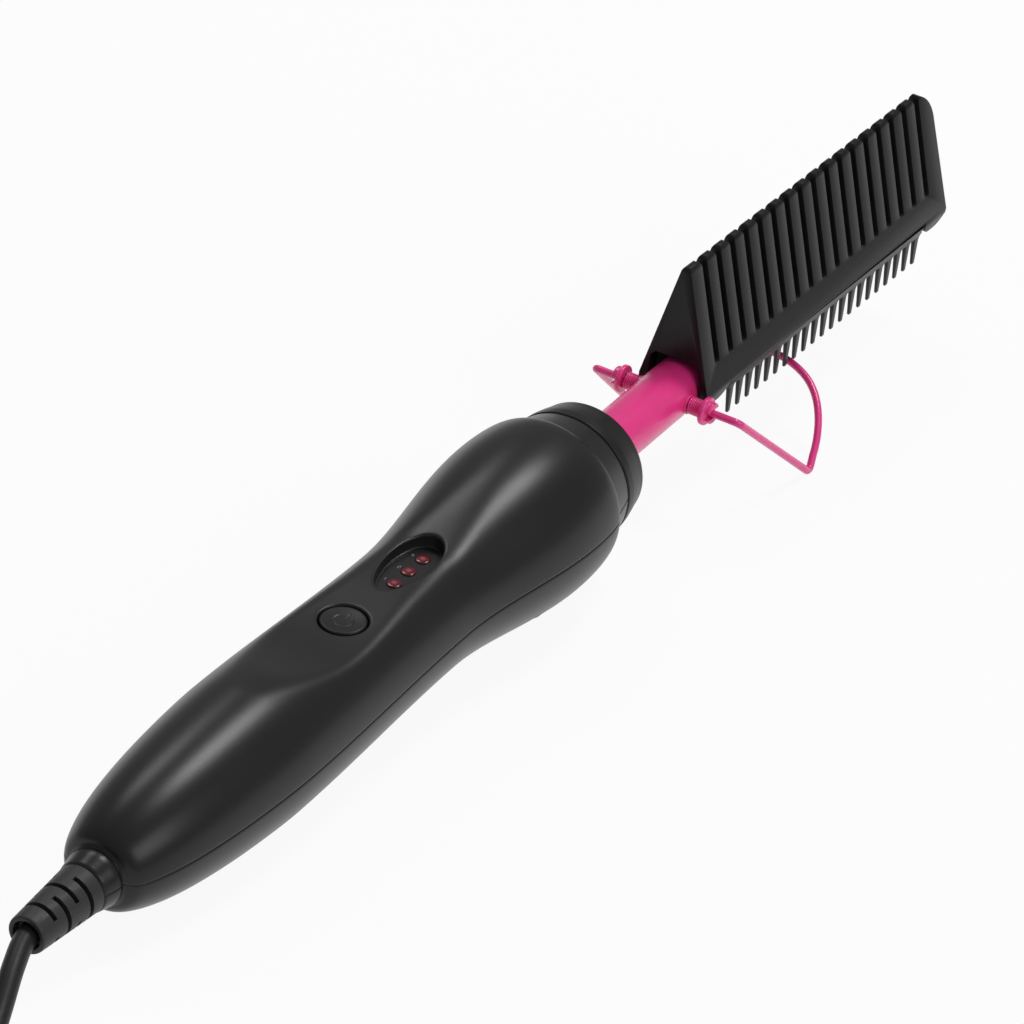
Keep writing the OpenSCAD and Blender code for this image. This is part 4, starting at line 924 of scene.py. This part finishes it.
# ---- Power button ----
# A round push button of matt black plastic, nearly flush with the thumb rest, with a shallow dish
# and an engraved power sign that points to the comb.
button_top = 10.8
dish_r, dish_depth, groove_depth, stroke_half, groove_wall = 3.8, 0.3, 0.09, 0.08, 0.12
sign_r, sign_gap, sign_bar = 1.8, math.radians(38), (0.5, 2.4)


def sign_distance(x, y):
    """Distance from the strokes of the power sign."""
    radius, angle = math.hypot(x, y), abs(math.atan2(y, x))
    tip = sign_r * math.cos(sign_gap), sign_r * math.sin(sign_gap)
    ring = abs(radius - sign_r) if angle > sign_gap else math.hypot(x - tip[0], abs(y) - tip[1])
    return min(ring, math.hypot(x - min(max(x, sign_bar[0]), sign_bar[1]), y))


def button_mesh():
    spokes = 144
    radii = [0.06] + [0.12 * k for k in range(1, 24)] + [3.0, 3.3, 3.6, dish_r]
    edge = [(button_r - inset, fall) for inset, fall in
            ((0.35, 0.01), (0.24, 0.04), (0.14, 0.1), (0.07, 0.18), (0.02, 0.28), (0, 0.4), (0, 1.2), (0, 2.2))]
    verts = []
    for r in radii:
        for k in range(spokes):
            a = 2 * math.pi * k / spokes
            x, y = r * math.cos(a), r * math.sin(a)
            groove = groove_depth * float(ease(1 - (sign_distance(x, y) - stroke_half) / groove_wall))
            verts.append((button_x + x, y, button_top - dish_depth * (1 - (r / dish_r) ** 2) - groove))
    for r, fall in edge:
        for k in range(spokes):
            a = 2 * math.pi * k / spokes
            verts.append((button_x + r * math.cos(a), r * math.sin(a), button_top - fall))
    return new_piece("push_button", verts, closed_rings(len(radii) + len(edge), spokes))


button = settle(button_mesh(), crisp=60)
button_plastic = skin_material("button_plastic", (0.0125, 0.0125, 0.0127), (0.018, 0.018, 0.018), 0.38, 0.08,
                               grain=3800, height=0.3, depth=0.00002, stain=120, specular=0.24)
dress(button, button_plastic, "button", "button_plastic", "power_button")


# ---- Lights ----
# Three small domed lenses of dark red plastic, pushed up through the floor of the recess. Beside
# each one is a tiny printed mark in pale grey.
def lens_material():
    """Dark red, clear-coated plastic, paler towards the middle of the lens."""
    material = skin_material("lens_red", (0.1, 0.004, 0.012), (0.14, 0.008, 0.02), 0.2, 0.06, grain=900,
                             height=0.05, coat=0.35, coat_roughness=0.03, specular=0.3)
    nodes, links = material.node_tree.nodes, material.node_tree.links
    shader = nodes["Principled BSDF"]
    core, mix = nodes.new("ShaderNodeAttribute"), nodes.new("ShaderNodeMix")
    core.attribute_name = "core"
    mix.data_type = "RGBA"
    life = next(n for n in nodes if n.type == "GROUP")
    links.new(core.outputs["Fac"], mix.inputs["Factor"])
    links.new(life.outputs["Color"], mix.inputs["A"])
    mix.inputs["B"].default_value = (0.42, 0.09, 0.1, 1)
    links.new(mix.outputs["Result"], shader.inputs["Base Color"])
    return material


lens_red = lens_material()
lens_top = recess_floor + 0.35
spokes, core_r = 40, 0.7
rings = [(0.05, 0), (0.25, 0), (0.5, 0.004), (0.75, 0.012), (1.0, 0.03), (1.2, 0.06), (1.33, 0.11),
         (1.42, 0.19), (1.45, 0.3), (1.45, 2.5)]
place = handle_frame.inverted()
for step, word in ((-1, "low"), (0, "middle"), (1, "high")):
    x0 = light_x + step * light_pitch
    verts = [(x0 + r * math.cos(2 * math.pi * k / spokes), light_y + r * math.sin(2 * math.pi * k / spokes),
              lens_top - fall) for r, fall in rings for k in range(spokes)]
    lens = settle(new_piece("lens_" + word, verts, closed_rings(len(rings), spokes)), crisp=60)
    core = lens.data.attributes.new("core", "FLOAT", "POINT")
    spots = [place @ v.co for v in lens.data.vertices]
    core.data.foreach_set("value", [max(0.0, 1 - math.hypot(q.x - x0, q.y - light_y) / core_r)
                                    for q in spots])
    dress(lens, lens_red, "handle", "light_plastic", "light_" + word)

mark_strokes = [[(-0.35, 0.25), (0.35, 0.25)],
                [(-0.35, 0.05), (-0.35, 0.45), (0, 0.45), (0, 0.05), (0.35, 0.05), (0.35, 0.45)],
                [(-0.35, 0.05), (-0.35, 0.45), (0.35, 0.45), (0.35, 0.05), (0.35, 0.45), (0, 0.45), (0, 0.1)]]
mark_x, mark_y, mark_lift, mark_r = 0.3, 1.9, 0.03, 0.07
marks = []
for step, strokes in zip((-1, 0, 1), mark_strokes):
    line = np.array([(light_x + step * light_pitch + mark_x + x, light_y + mark_y + y,
                      recess_floor + mark_lift) for x, y in strokes])
    if len(line) == 2:
        line = np.array([line[0], line.mean(axis=0), line[1]])
    marks.append(new_piece("mark", *tube_mesh(line, mark_r, 6, up=(0, 0.01, 1))))
marks = settle(joined(*marks))
mark_ink = skin_material("mark_ink", (0.3, 0.3, 0.3), (0.2, 0.2, 0.2), 0.5, 0.1)
dress(marks, mark_ink, "handle", "light_plastic")


# ---- Floor and light ----
# A white studio sweep: the camera sees it nearly white, and it keeps a faint shadow. Three soft
# boxes light the comb, from above beyond its tip, from the left and from the right.
def floor_piece():
    size = 4
    floor = new_piece("floor", [(-size, -size, 0), (size, -size, 0), (size, size, 0), (-size, size, 0)],
                      [(0, 1, 2, 3)], smooth=False)
    material = bpy.data.materials.new("floor_white")
    material.use_nodes = True
    nodes, links = material.node_tree.nodes, material.node_tree.links
    shader, out = nodes["Principled BSDF"], nodes["Material Output"]
    shader.inputs["Base Color"].default_value = (0.86, 0.86, 0.86, 1)
    shader.inputs["Roughness"].default_value = 0.9
    shader.inputs["Specular IOR Level"].default_value = 0.1
    glow, path = nodes.new("ShaderNodeEmission"), nodes.new("ShaderNodeLightPath")
    mix = nodes.new("ShaderNodeMixShader")
    glow.inputs["Strength"].default_value = 1
    either, also = nodes.new("ShaderNodeMath"), nodes.new("ShaderNodeMath")
    either.operation = also.operation = "MAXIMUM"
    links.new(path.outputs["Is Camera Ray"], either.inputs[0])
    links.new(path.outputs["Is Glossy Ray"], either.inputs[1])
    links.new(either.outputs["Value"], also.inputs[0])
    links.new(path.outputs["Is Transmission Ray"], also.inputs[1])
    share = nodes.new("ShaderNodeMath")
    share.operation = "MULTIPLY"
    share.inputs[1].default_value = 0.92
    links.new(also.outputs["Value"], share.inputs[0])
    links.new(share.outputs["Value"], mix.inputs["Fac"])
    links.new(shader.outputs["BSDF"], mix.inputs[1])
    links.new(glow.outputs["Emission"], mix.inputs[2])
    links.new(mix.outputs["Shader"], out.inputs["Surface"])
    floor.data.materials.append(material)


floor_piece()


def soft_box(name, place, target, width, height, watts):
    light = bpy.data.lights.new(name, "AREA")
    light.shape = "RECTANGLE"
    light.size, light.size_y, light.energy = width, height, watts
    lamp = bpy.data.objects.new(name, light)
    bpy.context.scene.collection.objects.link(lamp)
    lamp.location = place
    lamp.rotation_euler = (Vector(target) - Vector(place)).to_track_quat("-Z", "Y").to_euler()


soft_box("box_over", (0.62, -0.12, 1.25), (0, 0, 0), 0.34, 0.34, 7)
soft_box("box_left", (0.55, 0.75, 1.15), (0, 0, 0), 0.4, 0.3, 2.5)
soft_box("box_right", (-0.1, -1.3, 0.9), (0, 0, 0), 0.9, 0.7, 6)
world = bpy.data.worlds.new("studio")
bpy.context.scene.world = world
world.use_nodes = True
wn, wl = world.node_tree.nodes, world.node_tree.links
room, seen = wn["Background"], wn.new("ShaderNodeBackground")
room.inputs["Color"].default_value = (1, 1, 1, 1)
room.inputs["Strength"].default_value = 0.3
seen.inputs["Color"].default_value = (1, 1, 1, 1)
seen.inputs["Strength"].default_value = 1
w_path, w_mix = wn.new("ShaderNodeLightPath"), wn.new("ShaderNodeMixShader")
wl.new(w_path.outputs["Is Camera Ray"], w_mix.inputs["Fac"])
wl.new(room.outputs["Background"], w_mix.inputs[1])
wl.new(seen.outputs["Background"], w_mix.inputs[2])
wl.new(w_mix.outputs["Shader"], wn["World Output"].inputs["Surface"])
bpy.context.scene.view_settings.view_transform = "Standard"
